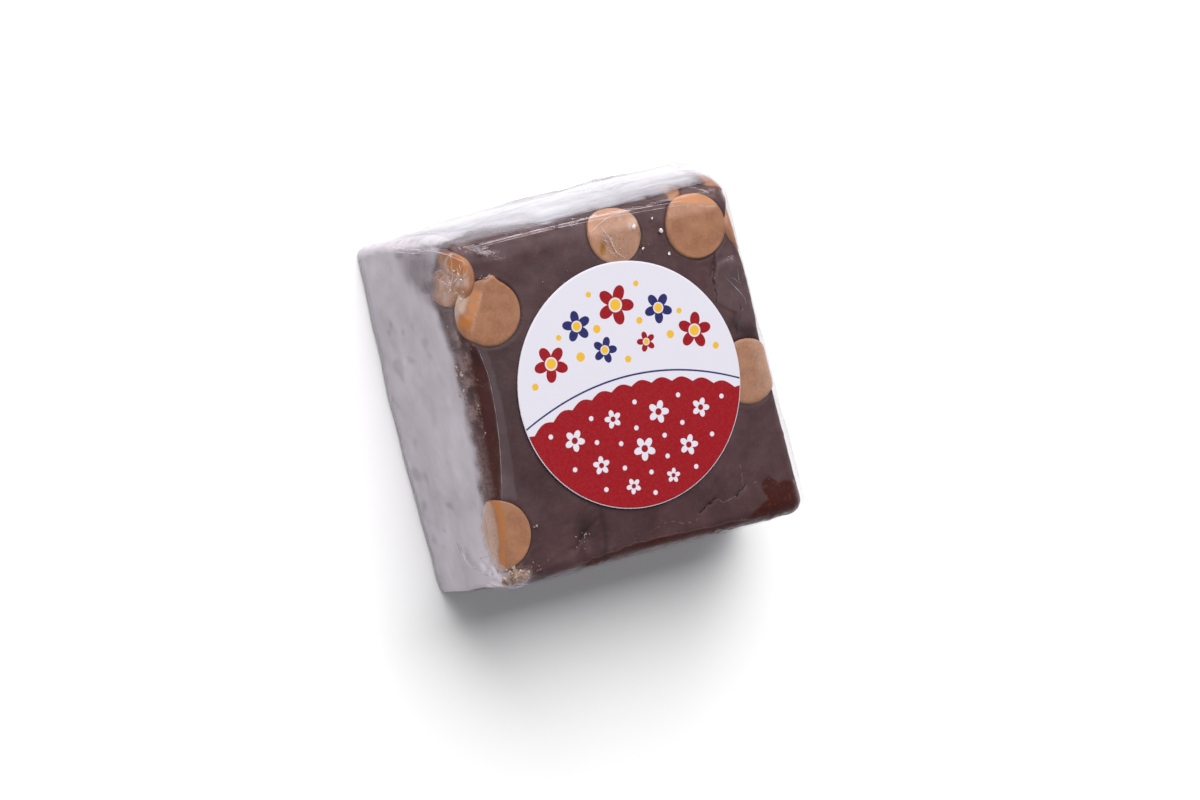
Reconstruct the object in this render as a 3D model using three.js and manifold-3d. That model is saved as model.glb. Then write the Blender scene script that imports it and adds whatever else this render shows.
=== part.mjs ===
// A square of chocolate fudge with peanut-butter drops pressed into it, wrapped tight in clear film.
// The fudge and the film round it are one solid. The drops, the round sticker and the two folded
// film ends are solids of their own. Millimetres, Z up, origin at the middle of the base.
// X runs from the left side to the right side, and Y from the front side to the back side.
import * as THREE from "three";
import { mergeVertices } from "three/addons/utils/BufferGeometryUtils.js";
import Module from "manifold-3d";

const wasm = await Module();
wasm.setup();

// Driving dimensions of the block. Its top face is a trapezoid, and its base is wider and skewed.
const HEIGHT = 25.4;
const TOP = {
  frontLeft: [-27.3, -31.0],
  frontRight: [32.2, -31.3],
  backLeft: [-25.4, 26.4],
  backRight: [28.4, 26.7],
};
const BASE = {
  frontLeft: [-28.7, -32.4],
  frontRight: [32.0, -31.6],
  backLeft: [-31.6, 29.7],
  backRight: [29.4, 31.4],
};
const LEFT_BULGE = 0.8;
const TOP_EDGE_RADIUS = 3.0;
const BASE_EDGE_RADIUS = 1.4;
const BASE_RISE = BASE_EDGE_RADIUS * (1 - Math.SQRT1_2); // how high a rounded base edge would start
const WIDTH = 60; // the rounded box that is bent into the block
const BACK_SHOULDER_POWER = 6; // the back side stays as wide as the base nearly up to the top
const UPRIGHT_EDGE_CHANGE = [0.3, 0.7]; // the upright edges go from the base's radius to the top's here
const CELLS = { top: 30, side: 9 };
const TRIM_CELLS = { top: 8, side: 7 };
const EDGE_KNOT = 0.42; // the share of a rounded edge at which its one extra row of points lies
const MERGE_REACH = 1e-4;

// Driving dimensions of the drops: a flat round foot with a soft rim, and a body that narrows to a
// blunt tip. The outline runs from the tip to the widest place, in shares of the radius and depth.
const DROP_DEPTH = 5.4;
const DROP_PROUD = 0.35;
const DROP_OUTLINE = [[0.24, 0.93], [0.55, 0.7], [0.86, 0.42], [1, 0.2], [1, 0.08]];
const FOOT = { rimInset: 0.35, rimHeight: 0.22, flatShare: 0.8, crown: 0.08 };
const BLUNT_SHARE = 0.9; // outline points deeper than this share of the depth are the blunt tip
const DROP_SIDES = 24;
const GAP = 0.3;
const TRIM_REACH = 0.3; // drops that overhang a side are cut off this far outside the block
const DEGREE = Math.PI / 180;

// Driving dimensions of the sticker. The film lies level under it, this far above the top face.
const STICKER = { centre: [2.3, -1.9], radius: 21.15, thickness: 0.25, lift: 0.75, sides: 80 };
const PLATEAU = { rise: 0.3, fade: [0.5, 3.5] };

// The two folded ends of the film. v is the side of the block, reach and rise are the shares of its
// width and height that the fold covers, and margin is how far the fold clears it.
const BACK_FOLD = { v: 1, reach: [0.05, 0.97], rise: [0.05, 0.84], margin: 0.4, columns: 24, rows: 7 };
const FRONT_FOLD = { v: 0, reach: [0.07, 0.93], rise: [0.05, 0.84], margin: 0.4, columns: 20, rows: 5 };
const DROP_MARGIN = { extra: 0.45, from: [0.64, 0.74] }; // where drops stand out of the back side
// The loose back fold is a pillow with slanting creases, full up to its right end.
const PILLOW = { edge: 0.4, swell: 1.35, fullness: 0.7, foot: 0.12, span: 0.8, rightEnd: 0.45 };
const CREASES = { height: 0.2, along: 14, up: 5 };
const BACK_CRUMPLE = { height: 0.14, along: 9, up: 5, seed: 1.5 };
// The flat front fold is two tucked triangles under one flap.
const TUCK = { edge: 0.35, height: 0.22, slope: 0.75, softness: 0.08 };
const FRONT_CRUMPLE = { height: 0.06, along: 7, up: 4, seed: 5.5 };

// Each drop: where the middle of its flat foot lies, which way the foot faces, and its radius. Where
// it was pressed down over an edge of the block, a bevel starts at a distance from its middle: an
// angle round Z, that distance, and a slope.
const DROPS = [
  {
    name: "drop_back_right",
    at: [20.8, 22.2, HEIGHT],
    faces: [0, 0.02, 1],
    radius: 5.85,
    bevel: [78, 3.9, 38],
  },
  {
    name: "drop_back_middle",
    at: [5.2, 23.6, HEIGHT],
    faces: [0, 0.06, 1],
    radius: 5.1,
  },
  {
    name: "drop_left",
    at: [-20.5, 15.3, HEIGHT],
    faces: [-0.03, 0, 1],
    radius: 5.75,
    bevel: [152, 2.3, 22],
  },
  {
    name: "drop_right",
    at: [25.3, -4.5, HEIGHT],
    faces: [0.02, 0, 1],
    radius: 5.9,
    bevel: [5, 3.4, 30],
  },
  {
    name: "drop_front_left",
    at: [-26.8, -21.5, HEIGHT],
    faces: [-0.05, 0, 1],
    radius: 6.0,
    bevel: [184, 1.0, 24],
  },
  {
    name: "drop_back_left",
    at: [-25.2, 22.2, HEIGHT - 3.6],
    faces: [-0.9, 0.09, 0.42],
    radius: 5.0,
  },
  {
    name: "drop_right_side",
    at: [29.4, 20.6, HEIGHT - 4.0],
    faces: [0.88, 0.1, 0.45],
    radius: 4.9,
  },
  {
    name: "drop_back_corner",
    at: [27.0, 29.9, HEIGHT - 5.6],
    faces: [0.3, 0.92, 0.25],
    radius: 4.0,
  },
  {
    name: "drop_back_side",
    at: [17.2, 29.0, HEIGHT - 4.6],
    faces: [-0.05, 0.92, 0.38],
    radius: 3.9,
  },
];
const NUB = { drop: "drop_left", at: [-20.1, 21.0, HEIGHT - 0.3], radius: 1.1, cells: [10, 8] };

// Relief of the top face: a lobe along the right edge, a dip near the front edge and soft lumps.
const LOBE_EDGE = [[23.4, 17.0], [22.4, 13.4], [21.4, 9.4], [24.8, 6.0], [24.6, 2.4]];
const LOBE = { rise: 0.5, across: [-0.5, 0.9], frontFade: [-1, 2], backFade: [-3, 1] };
const DIP = { centre: [-10.8, -26.6], reach: [2.0, 4.4], depth: 0.9 };
const LUMP = { height: 0.22, size: 9, topSeed: 3.5, sideSeed: 7 };

const clamp = (value, low, high) => Math.min(high, Math.max(low, value));
const lerp = (a, b, t) => a + (b - a) * t;
const smooth = (low, high, value) => {
  const t = clamp((value - low) / (high - low), 0, 1);
  return t * t * (3 - 2 * t);
};

// Smooth random heights between -1 and 1, the same on every run.
function hash(i, j, k) {
  const s = Math.sin(i * 127.1 + j * 311.7 + k * 74.7) * 43758.5453;
  return 2 * (s - Math.floor(s)) - 1;
}
function noise(x, y, z) {
  const [i, j, k] = [Math.floor(x), Math.floor(y), Math.floor(z)];
  const [a, b, c] = [smooth(0, 1, x - i), smooth(0, 1, y - j), smooth(0, 1, z - k)];
  const row = (dj, dk) => lerp(hash(i, j + dj, k + dk), hash(i + 1, j + dj, k + dk), a);
  const layer = (dk) => lerp(row(0, dk), row(1, dk), b);
  return lerp(layer(0), layer(1), c);
}

// X of the lobe's edge at a given Y, between its listed points.
function lobeEdgeAt(y) {
  const i = clamp(LOBE_EDGE.findIndex(([, edgeY]) => edgeY <= y), 1, LOBE_EDGE.length - 1);
  const [[ax, ay], [bx, by]] = [LOBE_EDGE[i - 1], LOBE_EDGE[i]];
  return lerp(ax, bx, clamp((y - ay) / (by - ay), 0, 1));
}

// How far the top face stands above or below its plane.
function topRelief(x, y) {
  const lump = LUMP.height * noise(x / LUMP.size, y / LUMP.size, LUMP.topSeed);
  const [lobeBack, lobeFront] = [LOBE_EDGE[0][1], LOBE_EDGE[LOBE_EDGE.length - 1][1]];
  const lobe = LOBE.rise * smooth(...LOBE.across, x - lobeEdgeAt(y)) *
    smooth(...LOBE.frontFade, y - lobeFront) * (1 - smooth(...LOBE.backFade, y - lobeBack));
  const dip = DIP.depth *
    Math.exp(-(((x - DIP.centre[0]) / DIP.reach[0]) ** 2) - ((y - DIP.centre[1]) / DIP.reach[1]) ** 2);
  const fromSticker = Math.hypot(x - STICKER.centre[0], y - STICKER.centre[1]) - STICKER.radius;
  const plateau = 1 - smooth(...PLATEAU.fade, fromSticker);
  return lerp(lump + lobe - dip, PLATEAU.rise, plateau);
}

// A point of the block's skin, grown by some distance. u, v and w run from 0 to 1 across X, Y and Z.
// A rounded box is bent so that its corners meet the named corners of the top and the base.
function skinPoint(u, v, w, grow = 0, lumpy = true) {
  const size = new THREE.Vector3(WIDTH, WIDTH, HEIGHT);
  const point = new THREE.Vector3(u, v, w).multiply(size);
  const radius = lerp(BASE_EDGE_RADIUS, TOP_EDGE_RADIUS, smooth(...UPRIGHT_EDGE_CHANGE, w));
  const core = new THREE.Vector3(
    clamp(point.x, radius, size.x - radius),
    clamp(point.y, radius, size.y - radius),
    clamp(point.z, BASE_EDGE_RADIUS, size.z - TOP_EDGE_RADIUS),
  );
  const normal = point.clone().sub(core).normalize();
  const on = core.addScaledVector(normal, radius).divide(size);
  const slant = on.z;
  const shoulder = on.z ** BACK_SHOULDER_POWER;
  const sideX = (side) => lerp(
    lerp(BASE[`front${side}`][0], TOP[`front${side}`][0], slant),
    lerp(BASE[`back${side}`][0], TOP[`back${side}`][0], slant),
    on.y,
  );
  const endY = (end, share) => lerp(
    lerp(BASE[`${end}Left`][1], TOP[`${end}Left`][1], share),
    lerp(BASE[`${end}Right`][1], TOP[`${end}Right`][1], share),
    on.x,
  );
  const bulge = LEFT_BULGE * 4 * on.y * (1 - on.y) * (1 - on.x) ** 2 * (1 - on.z);
  const x = lerp(sideX("Left"), sideX("Right"), on.x) - bulge;
  const y = lerp(endY("front", slant), endY("back", shoulder), on.y);
  const z = (on.z * HEIGHT - BASE_RISE) * HEIGHT / (HEIGHT - BASE_RISE);
  const sideLump = LUMP.height * noise(x / LUMP.size, y / LUMP.size, LUMP.sideSeed + z / LUMP.size);
  const relief = normal.z > 0 ? lerp(sideLump, topRelief(x, y), normal.z ** 2) : sideLump * (1 + normal.z);
  const skin = new THREE.Vector3(x, y, z).addScaledVector(normal, (lumpy ? relief : 0) + grow);
  return w === 0 ? skin.setZ(-grow) : skin;
}

// A closed geometry from triangles of points, with its shared points merged.
function closedGeometry(triangles) {
  const geometry = new THREE.BufferGeometry().setFromPoints(triangles.flat());
  return mergeVertices(geometry, MERGE_REACH);
}

// Two triangles for each cell of a grid of points, or the other way round when it is flipped.
function gridTriangles(rows, flipped = false) {
  const triangles = [];
  for (let i = 1; i < rows.length; i++)
    for (let j = 1; j < rows[i].length; j++) {
      const [a, b, c, d] = [rows[i - 1][j - 1], rows[i][j - 1], rows[i][j], rows[i - 1][j]];
      triangles.push(...(flipped ? [[a, c, b], [a, d, c]] : [[a, b, c], [a, c, d]]));
    }
  return triangles;
}

// Positions along a side: close together where the edge is rounded and even between.
function knots(cells, size, lowRadius, highRadius) {
  const [low, high] = [lowRadius / size, 1 - highRadius / size];
  const evenCells = cells - 4;
  const even = Array.from({ length: evenCells + 1 }, (_, i) => lerp(low, high, i / evenCells));
  return [0, low * EDGE_KNOT, ...even, lerp(1, high, EDGE_KNOT), 1];
}

// The wrapped block: a grid over the top and the four sides, and a flat base in one fan.
function blockGeometry(cells, grow = 0, lumpy = true) {
  const across = knots(cells.top, WIDTH, TOP_EDGE_RADIUS, TOP_EDGE_RADIUS);
  const up = knots(cells.side, HEIGHT, BASE_EDGE_RADIUS, TOP_EDGE_RADIUS);
  const at = (u, v, w) => skinPoint(u, v, w, grow, lumpy);
  const top = across.map((u) => across.map((v) => at(u, v, 1)));
  const front = across.map((u) => up.map((w) => at(u, 0, w)));
  const back = across.map((u) => up.map((w) => at(u, 1, w)));
  const left = across.map((v) => up.map((w) => at(0, v, w)));
  const right = across.map((v) => up.map((w) => at(1, v, w)));
  const rim = [
    ...front.map((column) => column[0]),
    ...right.slice(1).map((column) => column[0]),
    ...back.slice(0, -1).reverse().map((column) => column[0]),
    ...left.slice(1, -1).reverse().map((column) => column[0]),
  ];
  const centre = new THREE.Vector3(0, 0, rim[0].z);
  const base = rim.map((point, i) => [centre, rim[(i + 1) % rim.length], point]);
  return closedGeometry([
    ...gridTriangles(top),
    ...gridTriangles(front),
    ...gridTriangles(back, true),
    ...gridTriangles(left, true),
    ...gridTriangles(right),
    ...base,
  ]);
}

// A drop as it leaves the mould. Its axis is Z, the foot faces up, and grow makes it larger all round.
function dropGeometry(radius, grow = 0) {
  const outline = DROP_OUTLINE.map(([across, down]) => {
    const tip = down > BLUNT_SHARE ? grow : 0;
    return [across * radius + grow, -down * DROP_DEPTH - tip];
  });
  const profile = [
    [0, -DROP_DEPTH - grow],
    ...outline,
    [radius - FOOT.rimInset + grow, FOOT.rimHeight + grow],
    [FOOT.flatShare * radius, DROP_PROUD + grow],
    [0, DROP_PROUD + FOOT.crown + grow],
  ];
  const geometry = new THREE.LatheGeometry(profile.map(([x, y]) => new THREE.Vector2(x, y)), DROP_SIDES);
  return geometry.rotateX(Math.PI / 2);
}

// A placed copy of a drop's geometry.
function placedDrop({ at, faces, radius }, grow = 0) {
  const turn = new THREE.Quaternion().setFromUnitVectors(
    new THREE.Vector3(0, 0, 1),
    new THREE.Vector3(...faces).normalize(),
  );
  return dropGeometry(radius, grow).applyQuaternion(turn).translate(...at);
}

// Between three.js geometry and manifold-3d solids.
function toSolid(geometry) {
  const bare = geometry.clone();
  bare.deleteAttribute("normal");
  bare.deleteAttribute("uv");
  const merged = mergeVertices(bare, MERGE_REACH);
  const corners = merged.index.array;
  const triangles = [];
  for (let i = 0; i < corners.length; i += 3) {
    const [a, b, c] = [corners[i], corners[i + 1], corners[i + 2]];
    if (a !== b && b !== c && a !== c) triangles.push(a, b, c);
  }
  return new wasm.Manifold(new wasm.Mesh({
    numProp: 3,
    vertProperties: merged.getAttribute("position").array,
    triVerts: new Uint32Array(triangles),
  }));
}
function toGeometry(solid) {
  const mesh = solid.getMesh();
  return new THREE.BufferGeometry()
    .setAttribute("position", new THREE.BufferAttribute(mesh.vertProperties, 3))
    .setIndex(new THREE.BufferAttribute(mesh.triVerts, 1));
}
function nubSolid(grow = 0) {
  return toSolid(new THREE.SphereGeometry(NUB.radius + grow, ...NUB.cells).translate(...NUB.at));
}
function largestPiece(solid) {
  return solid.decompose().reduce((best, piece) => (piece.volume() > best.volume() ? piece : best));
}

// A drop cut off along its bevel.
function bevelled(solid, { at, bevel }) {
  if (!bevel) return solid;
  const [angle, distance, slope] = [bevel[0] * DEGREE, bevel[1], bevel[2] * DEGREE];
  const outward = new THREE.Vector3(Math.cos(angle), Math.sin(angle), 0);
  const ridge = new THREE.Vector3(...at).addScaledVector(outward, distance);
  ridge.z += DROP_PROUD;
  const kept = outward.multiplyScalar(-Math.sin(slope)).setZ(-Math.cos(slope));
  return solid.trimByPlane(kept.toArray(), kept.dot(ridge));
}

// The drops as pressed into the block: trimmed by its skin, and each clear of those before it.
function pressedDrops() {
  const skin = toSolid(blockGeometry(TRIM_CELLS, TRIM_REACH, false));
  return DROPS.map((drop, i) => {
    let solid = bevelled(toSolid(placedDrop(drop)).intersect(skin), drop);
    if (drop.name === NUB.drop) solid = solid.add(nubSolid());
    for (const earlier of DROPS.slice(0, i)) solid = solid.subtract(toSolid(placedDrop(earlier, GAP)));
    return largestPiece(solid);
  });
}

// The block with a pocket for every drop, and for the nub on one of them.
function pocketedBlock() {
  const pockets = [...DROPS.map((drop) => toSolid(placedDrop(drop, GAP))), nubSolid(GAP)];
  return largestPiece(pockets.reduce((body, pocket) => body.subtract(pocket), toSolid(blockGeometry(CELLS))));
}

// The round paper sticker, a thin disc.
function stickerGeometry() {
  const { radius, thickness, sides } = STICKER;
  const profile = [[0, 0], [radius, 0], [radius, thickness], [0, thickness]];
  const geometry = new THREE.LatheGeometry(profile.map(([x, y]) => new THREE.Vector2(x, y)), sides);
  return geometry.rotateX(Math.PI / 2);
}

// A folded end of the film: a thin pillow that lies against the front or back side. At s along it
// and t up it, margin is how far it clears the block, and thickness its own.
function foldGeometry({ v, reach, rise, columns, rows }, margin, thickness) {
  const outward = v === 1 ? 1 : -1;
  const grid = (distance) => Array.from({ length: columns + 1 }, (_, i) =>
    Array.from({ length: rows + 1 }, (_, j) => {
      const [s, t] = [i / columns, j / rows];
      const point = skinPoint(lerp(...reach, s), v, lerp(...rise, t));
      return point.setY(point.y + outward * distance(s, t));
    }));
  const inner = grid(margin);
  const outer = grid((s, t) => margin(s) + thickness(s, t));
  const edge = (pick) => [pick(inner), pick(outer)];
  const first = edge((g) => g[0]);
  const last = edge((g) => g[columns]);
  const under = edge((g) => g.map((column) => column[0]));
  const over = edge((g) => g.map((column) => column[rows]));
  const flipped = v === 1;
  return closedGeometry([
    ...gridTriangles(outer, flipped),
    ...gridTriangles(inner, !flipped),
    ...gridTriangles(first, flipped),
    ...gridTriangles(last, !flipped),
    ...gridTriangles(under, !flipped),
    ...gridTriangles(over, flipped),
  ]);
}
function crumple({ height, along, up, seed }, s, t) {
  return height * noise(along * s, up * t, seed);
}

function backFoldMargin(s) {
  return BACK_FOLD.margin + DROP_MARGIN.extra * smooth(...DROP_MARGIN.from, s);
}
function backFoldThickness(s, t) {
  const rightEnd = lerp(1, PILLOW.rightEnd, smooth(0.5, 1, s));
  const swell = (s < 0.5 ? Math.sin(Math.PI * s) ** PILLOW.fullness : rightEnd) *
    Math.sin(Math.PI * (PILLOW.foot + PILLOW.span * t)) ** PILLOW.fullness;
  const crease = CREASES.height * Math.sin(CREASES.along * s + CREASES.up * t) * Math.sin(Math.PI * s);
  return PILLOW.edge + PILLOW.swell * swell + crease + crumple(BACK_CRUMPLE, s, t);
}

function frontFoldMargin() {
  return FRONT_FOLD.margin;
}
function frontFoldThickness(s, t) {
  const tuck = TUCK.height * smooth(0, TUCK.softness, Math.abs(2 * s - 1) - 1 + TUCK.slope * t);
  return TUCK.edge + tuck + crumple(FRONT_CRUMPLE, s, t);
}

const material = (color, roughness) => new THREE.MeshStandardMaterial({ color, roughness, metalness: 0 });
const fudgeMaterial = material(0x4a332f, 0.45);
const dropMaterial = material(0xc08a5c, 0.5);
const paperMaterial = material(0xe9e8f1, 0.55);
const filmMaterial = new THREE.MeshStandardMaterial({
  color: 0xeceef4,
  roughness: 0.15,
  metalness: 0,
  transparent: true,
  opacity: 0.45,
});

const fudge = new THREE.Group();
function addPiece(name, geometry, pieceMaterial) {
  const mesh = new THREE.Mesh(geometry, pieceMaterial);
  mesh.name = name;
  fudge.add(mesh);
  return mesh;
}

addPiece("wrapped_fudge", toGeometry(pocketedBlock()), fudgeMaterial);
pressedDrops().forEach((solid, i) => addPiece(DROPS[i].name, toGeometry(solid), dropMaterial));
addPiece("sticker", stickerGeometry(), paperMaterial)
  .position.set(...STICKER.centre, HEIGHT + STICKER.lift);
addPiece("film_fold_back", foldGeometry(BACK_FOLD, backFoldMargin, backFoldThickness), filmMaterial);
addPiece("film_fold_front", foldGeometry(FRONT_FOLD, frontFoldMargin, frontFoldThickness), filmMaterial);

// The origin is the middle of the whole piece, at the level of its base.
const middle = new THREE.Box3().setFromObject(fudge, true).getCenter(new THREE.Vector3());
fudge.position.set(-middle.x, -middle.y, 0);

export default fudge;
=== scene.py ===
"""A square of chocolate fudge in clear film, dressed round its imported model.

The shapes are worked out in millimetres in the block's own frame, in which the part's source gives
its driving dimensions: X to the right, Y to the back, Z up from the base.
"""
import functools
import itertools
import math

import bpy
import numpy as np
from mathutils import Matrix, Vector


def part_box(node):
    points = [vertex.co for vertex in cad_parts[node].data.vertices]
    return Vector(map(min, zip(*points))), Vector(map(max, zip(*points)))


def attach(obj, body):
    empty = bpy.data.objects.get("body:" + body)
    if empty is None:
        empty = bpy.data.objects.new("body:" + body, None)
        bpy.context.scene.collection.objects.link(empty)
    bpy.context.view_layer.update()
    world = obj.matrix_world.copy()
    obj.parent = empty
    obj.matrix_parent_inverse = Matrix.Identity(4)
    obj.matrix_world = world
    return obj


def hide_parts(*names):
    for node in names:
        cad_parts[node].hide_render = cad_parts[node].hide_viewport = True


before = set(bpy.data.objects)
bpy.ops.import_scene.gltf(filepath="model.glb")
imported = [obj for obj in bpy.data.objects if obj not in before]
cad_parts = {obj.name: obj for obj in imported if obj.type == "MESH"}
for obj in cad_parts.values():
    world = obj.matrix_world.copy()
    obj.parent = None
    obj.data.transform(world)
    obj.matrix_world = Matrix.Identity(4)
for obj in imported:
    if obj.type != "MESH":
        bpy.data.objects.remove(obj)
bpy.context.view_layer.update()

MM = 0.001

# The block: corners of its top face and of its base, as in the part's source.
HEIGHT = 25.4
TOP = {
    "front_left": (-27.3, -31.0), "front_right": (32.2, -31.3),
    "back_left": (-25.4, 26.4), "back_right": (28.4, 26.7),
}
BASE = {
    "front_left": (-28.7, -32.4), "front_right": (32.0, -31.6),
    "back_left": (-31.6, 29.7), "back_right": (29.4, 31.4),
}
LEFT_BULGE = 0.8
TOP_EDGE_RADIUS = 3.0
BASE_EDGE_RADIUS = 1.4
BASE_RISE = BASE_EDGE_RADIUS * (1 - math.sqrt(0.5))
WIDTH = 60.0
BACK_SHOULDER_POWER = 6

# The sticker's middle in the block's frame, and from it the block's frame in the row frame.
STICKER_MIDDLE = (2.3, -1.9)
STICKER_RADIUS = 21.15
sticker_low, sticker_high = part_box("sticker")
STICKER_UNDER, STICKER_OVER = sticker_low.z / MM, sticker_high.z / MM
ORIGIN = np.array([
    (sticker_low.x + sticker_high.x) / 2 - STICKER_MIDDLE[0] * MM,
    (sticker_low.y + sticker_high.y) / 2 - STICKER_MIDDLE[1] * MM,
    0.0,
])

# How deep a drop's hidden tip lies under its foot, and how far a drop stands proud of the block.
DROP_DEPTH = 5.4
DROP_PROUD = 0.35

# The drops: middle of the foot, the way the foot faces, radius, and for some a bevel as an angle
# round Z, a distance from the middle and a slope.
DROPS = {
    "drop_back_right": dict(at=(20.8, 22.2, HEIGHT), faces=(0, 0.02, 1), radius=5.85, bevel=(78, 3.9, 38)),
    "drop_back_middle": dict(at=(5.2, 23.6, HEIGHT), faces=(0, 0.06, 1), radius=5.1),
    "drop_left": dict(at=(-20.5, 15.3, HEIGHT), faces=(-0.03, 0, 1), radius=5.75, bevel=(152, 2.3, 22)),
    "drop_right": dict(at=(25.3, -4.5, HEIGHT), faces=(0.02, 0, 1), radius=5.9, bevel=(5, 3.4, 30)),
    "drop_front_left": dict(at=(-26.8, -21.5, HEIGHT), faces=(-0.05, 0, 1), radius=6.0, bevel=(184, 1.0, 24)),
    "drop_back_left": dict(at=(-25.2, 22.2, HEIGHT - 3.6), faces=(-0.9, 0.09, 0.42), radius=5.0),
    "drop_right_side": dict(at=(29.4, 20.6, HEIGHT - 4.0), faces=(0.88, 0.1, 0.45), radius=4.9),
    "drop_back_corner": dict(at=(27.0, 29.9, HEIGHT - 5.6), faces=(0.3, 0.92, 0.25), radius=4.0),
    "drop_back_side": dict(at=(17.2, 29.0, HEIGHT - 4.6), faces=(-0.05, 0.92, 0.38), radius=3.9),
}
# The nub on one drop's rim: where round the rim, how wide, both in radians, and how far it reaches.
NUB = dict(drop="drop_left", angle=1.27, width=0.14, reach=0.75)
# Fudge smeared over a drop's rim: a point on its edge, the way it lies from there, and softness.
SMEARS = {
    "drop_back_left": ((-26.6, 21.6), (-1.0, 0.25), 0.5),
    "drop_back_corner": ((25.4, 29.0), (-1.0, 0.1), 0.4),
    "drop_back_side": ((17.6, 29.0), (-1.0, 0.0), 0.4),
}
# The orange bend across drop_front_left, in X and Y. Film rubs on the part to the left of it.
RIDGE = [(-27.1, -15.3), (-26.1, -16.7), (-26.0, -18.8), (-26.6, -22.1), (-27.8, -26.2)]

# Relief, finish and painted shade of the top face, as lines and outlines in X and Y.
LOBE_EDGE = [(23.4, 17.0), (22.8, 14.8), (22.0, 12.5), (21.9, 10.0), (21.4, 8.6), (25.0, 5.8), (24.6, 2.4)]
CRACKS = [
    [(11.0, -26.4), (11.9, -25.9), (12.6, -25.5), (13.5, -25.2), (14.5, -24.8)],
    [(18.5, -25.3), (19.2, -24.7), (19.8, -24.3), (20.5, -23.9)],
]
LOBE_CRACKS = [
    [(23.5, 17.4), (22.8, 14.8), (22.0, 12.5), (21.9, 10.0), (21.6, 8.5)],
    [(26.3, 7.0), (25.7, 5.3), (24.9, 4.1), (24.3, 2.1)],
]
FLAKE_EDGES = [
    [(-0.3, -28.7), (1.2, -27.4), (2.5, -26.8), (5.4, -26.6), (8.0, -27.7), (10.1, -27.5), (10.9, -26.5)],
    [(14.4, -24.9), (16.0, -25.7), (18.5, -25.3)],
    [(20.4, -24.0), (22.2, -23.9), (24.1, -23.6)],
    [(20.3, -20.0), (20.2, -21.6), (20.3, -23.8)],
]
WET_CORNER = [
    (24.0, -23.9), (25.6, -23.2), (26.5, -24.1), (27.3, -24.8), (28.4, -24.6), (29.8, -25.1),
    (33.0, -25.0), (33.5, -32.0), (29.5, -33.0), (22.0, -32.0), (18.6, -30.1), (20.4, -29.6),
    (21.4, -28.7), (23.1, -27.6), (24.3, -27.0), (23.8, -25.3),
]
WET_FRONT = [
    (-22.0, -31.6), (-18.7, -30.4), (-10.0, -29.6), (-2.6, -28.7), (1.3, -28.8), (9.3, -29.2),
    (17.4, -29.5), (21.0, -30.2),
]
WET_LEFT_OUTER = [(-26.0, 10.5), (-26.3, 3.4), (-26.0, -1.0), (-26.2, -5.4), (-26.6, -10.2), (-26.9, -15.8)]
# The lower edge of the clear part of the film's left side, in Y and Z.
LEFT_HAZE_EDGE = [
    (-31.5, 24.1), (-28.1, 23.8), (-25.6, 22.3), (-20.4, 21.6), (-16.1, 22.8), (-10.1, 23.4), (-4.1, 23.0),
    (2.3, 22.5), (7.5, 22.2), (11.3, 21.6), (15.3, 20.9), (19.6, 19.9), (24.0, 20.5), (27.0, 23.0),
]
FLAP_LEFT = [(-23.9, 9.9), (-23.0, 5.0), (-23.0, -0.6), (-23.4, -6.1), (-24.2, -11.5), (-25.2, -16.2)]
FLAP_RIGHT = [(-22.4, 9.9), (-21.8, 4.7), (-21.6, -0.9), (-21.8, -6.4), (-22.0, -11.8), (-22.6, -16.8)]
# A patch of painted shade on the top face, left of the sticker: its middle, reach and how dark it is.
SHADED_PATCH = dict(middle=(-20.0, -2.0), reach=(5.0, 15.0), depth=0.34)
DIP = dict(middle=(-10.8, -26.6), reach=(2.0, 4.4), depth=1.2)
# A line of painted shade in the crevice beside drop_back_middle.
CREVICE_SHADE = [(9.9, 24.1), (9.7, 21.9), (9.3, 20.7), (8.5, 19.3)]
# Lines of painted shade: below drop_left, and at the foot of the lobe.
DROP_FOOT = [(-25.9, 9.9), (-24.4, 8.9), (-24.0, 7.6)]
LOBE_FOOT = [(24.3, 4.2), (26.1, 2.2), (28.4, 1.3)]
DIP_FOLD = [(-7.7, -21.8), (-7.3, -25.6), (-7.5, -28.0), (-8.4, -30.3)]
DIP_CREASE = [(-14.3, -26.7), (-13.2, -27.0), (-11.9, -25.9), (-10.5, -24.6), (-8.6, -22.9)]
FRONT_GATHER = [
    (-29.8, -21.5), (-28.2, -25.0), (-26.2, -27.0), (-22.6, -28.6), (-21.8, -30.6), (-24.0, -33.0),
    (-29.6, -33.0),
]
CORNER_STRANDS = [(-29.7, -21.0), (-29.3, -23.3), (-27.9, -25.7), (-27.0, -29.0), (-27.3, -31.6)]
BACK_HAZE_EDGE = [
    (-24.0, 28.0), (-20.3, 29.0), (-12.6, 28.8), (-7.0, 28.0), (1.9, 28.2), (8.9, 28.2), (17.9, 28.5),
    (21.1, 30.0), (27.5, 30.2),
]
BACK_EDGE_AT = 26.6
BACK_CREASE = [(-21.9, 26.6), (-11.0, 27.1), (-1.0, 27.3), (9.0, 27.2), (18.8, 26.9)]

# The camera, as solved from the sticker's outline and the corners of the top face.
CAMERA_AT = (-218.75, 43.0, 485.55)
CAMERA_RIGHT = (0.88095, -0.19417, 0.43153)
CAMERA_UP = (0.21431, 0.97676, 0.00200)
CAMERA_BACK = (-0.42189, 0.09072, 0.90209)
LENS_MM = 90.0
SENSOR_MM = 36.0

# How far noise shakes the drawn lines, in millimetres, and how often it changes along one.
LINE_SHAKE = 1.1

# The even bed of fudge under the sticker, and where it passes into the top face, outside the rim.
STICKER_BED = 0.5
STICKER_TENT = (-0.3, 6.5)

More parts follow.
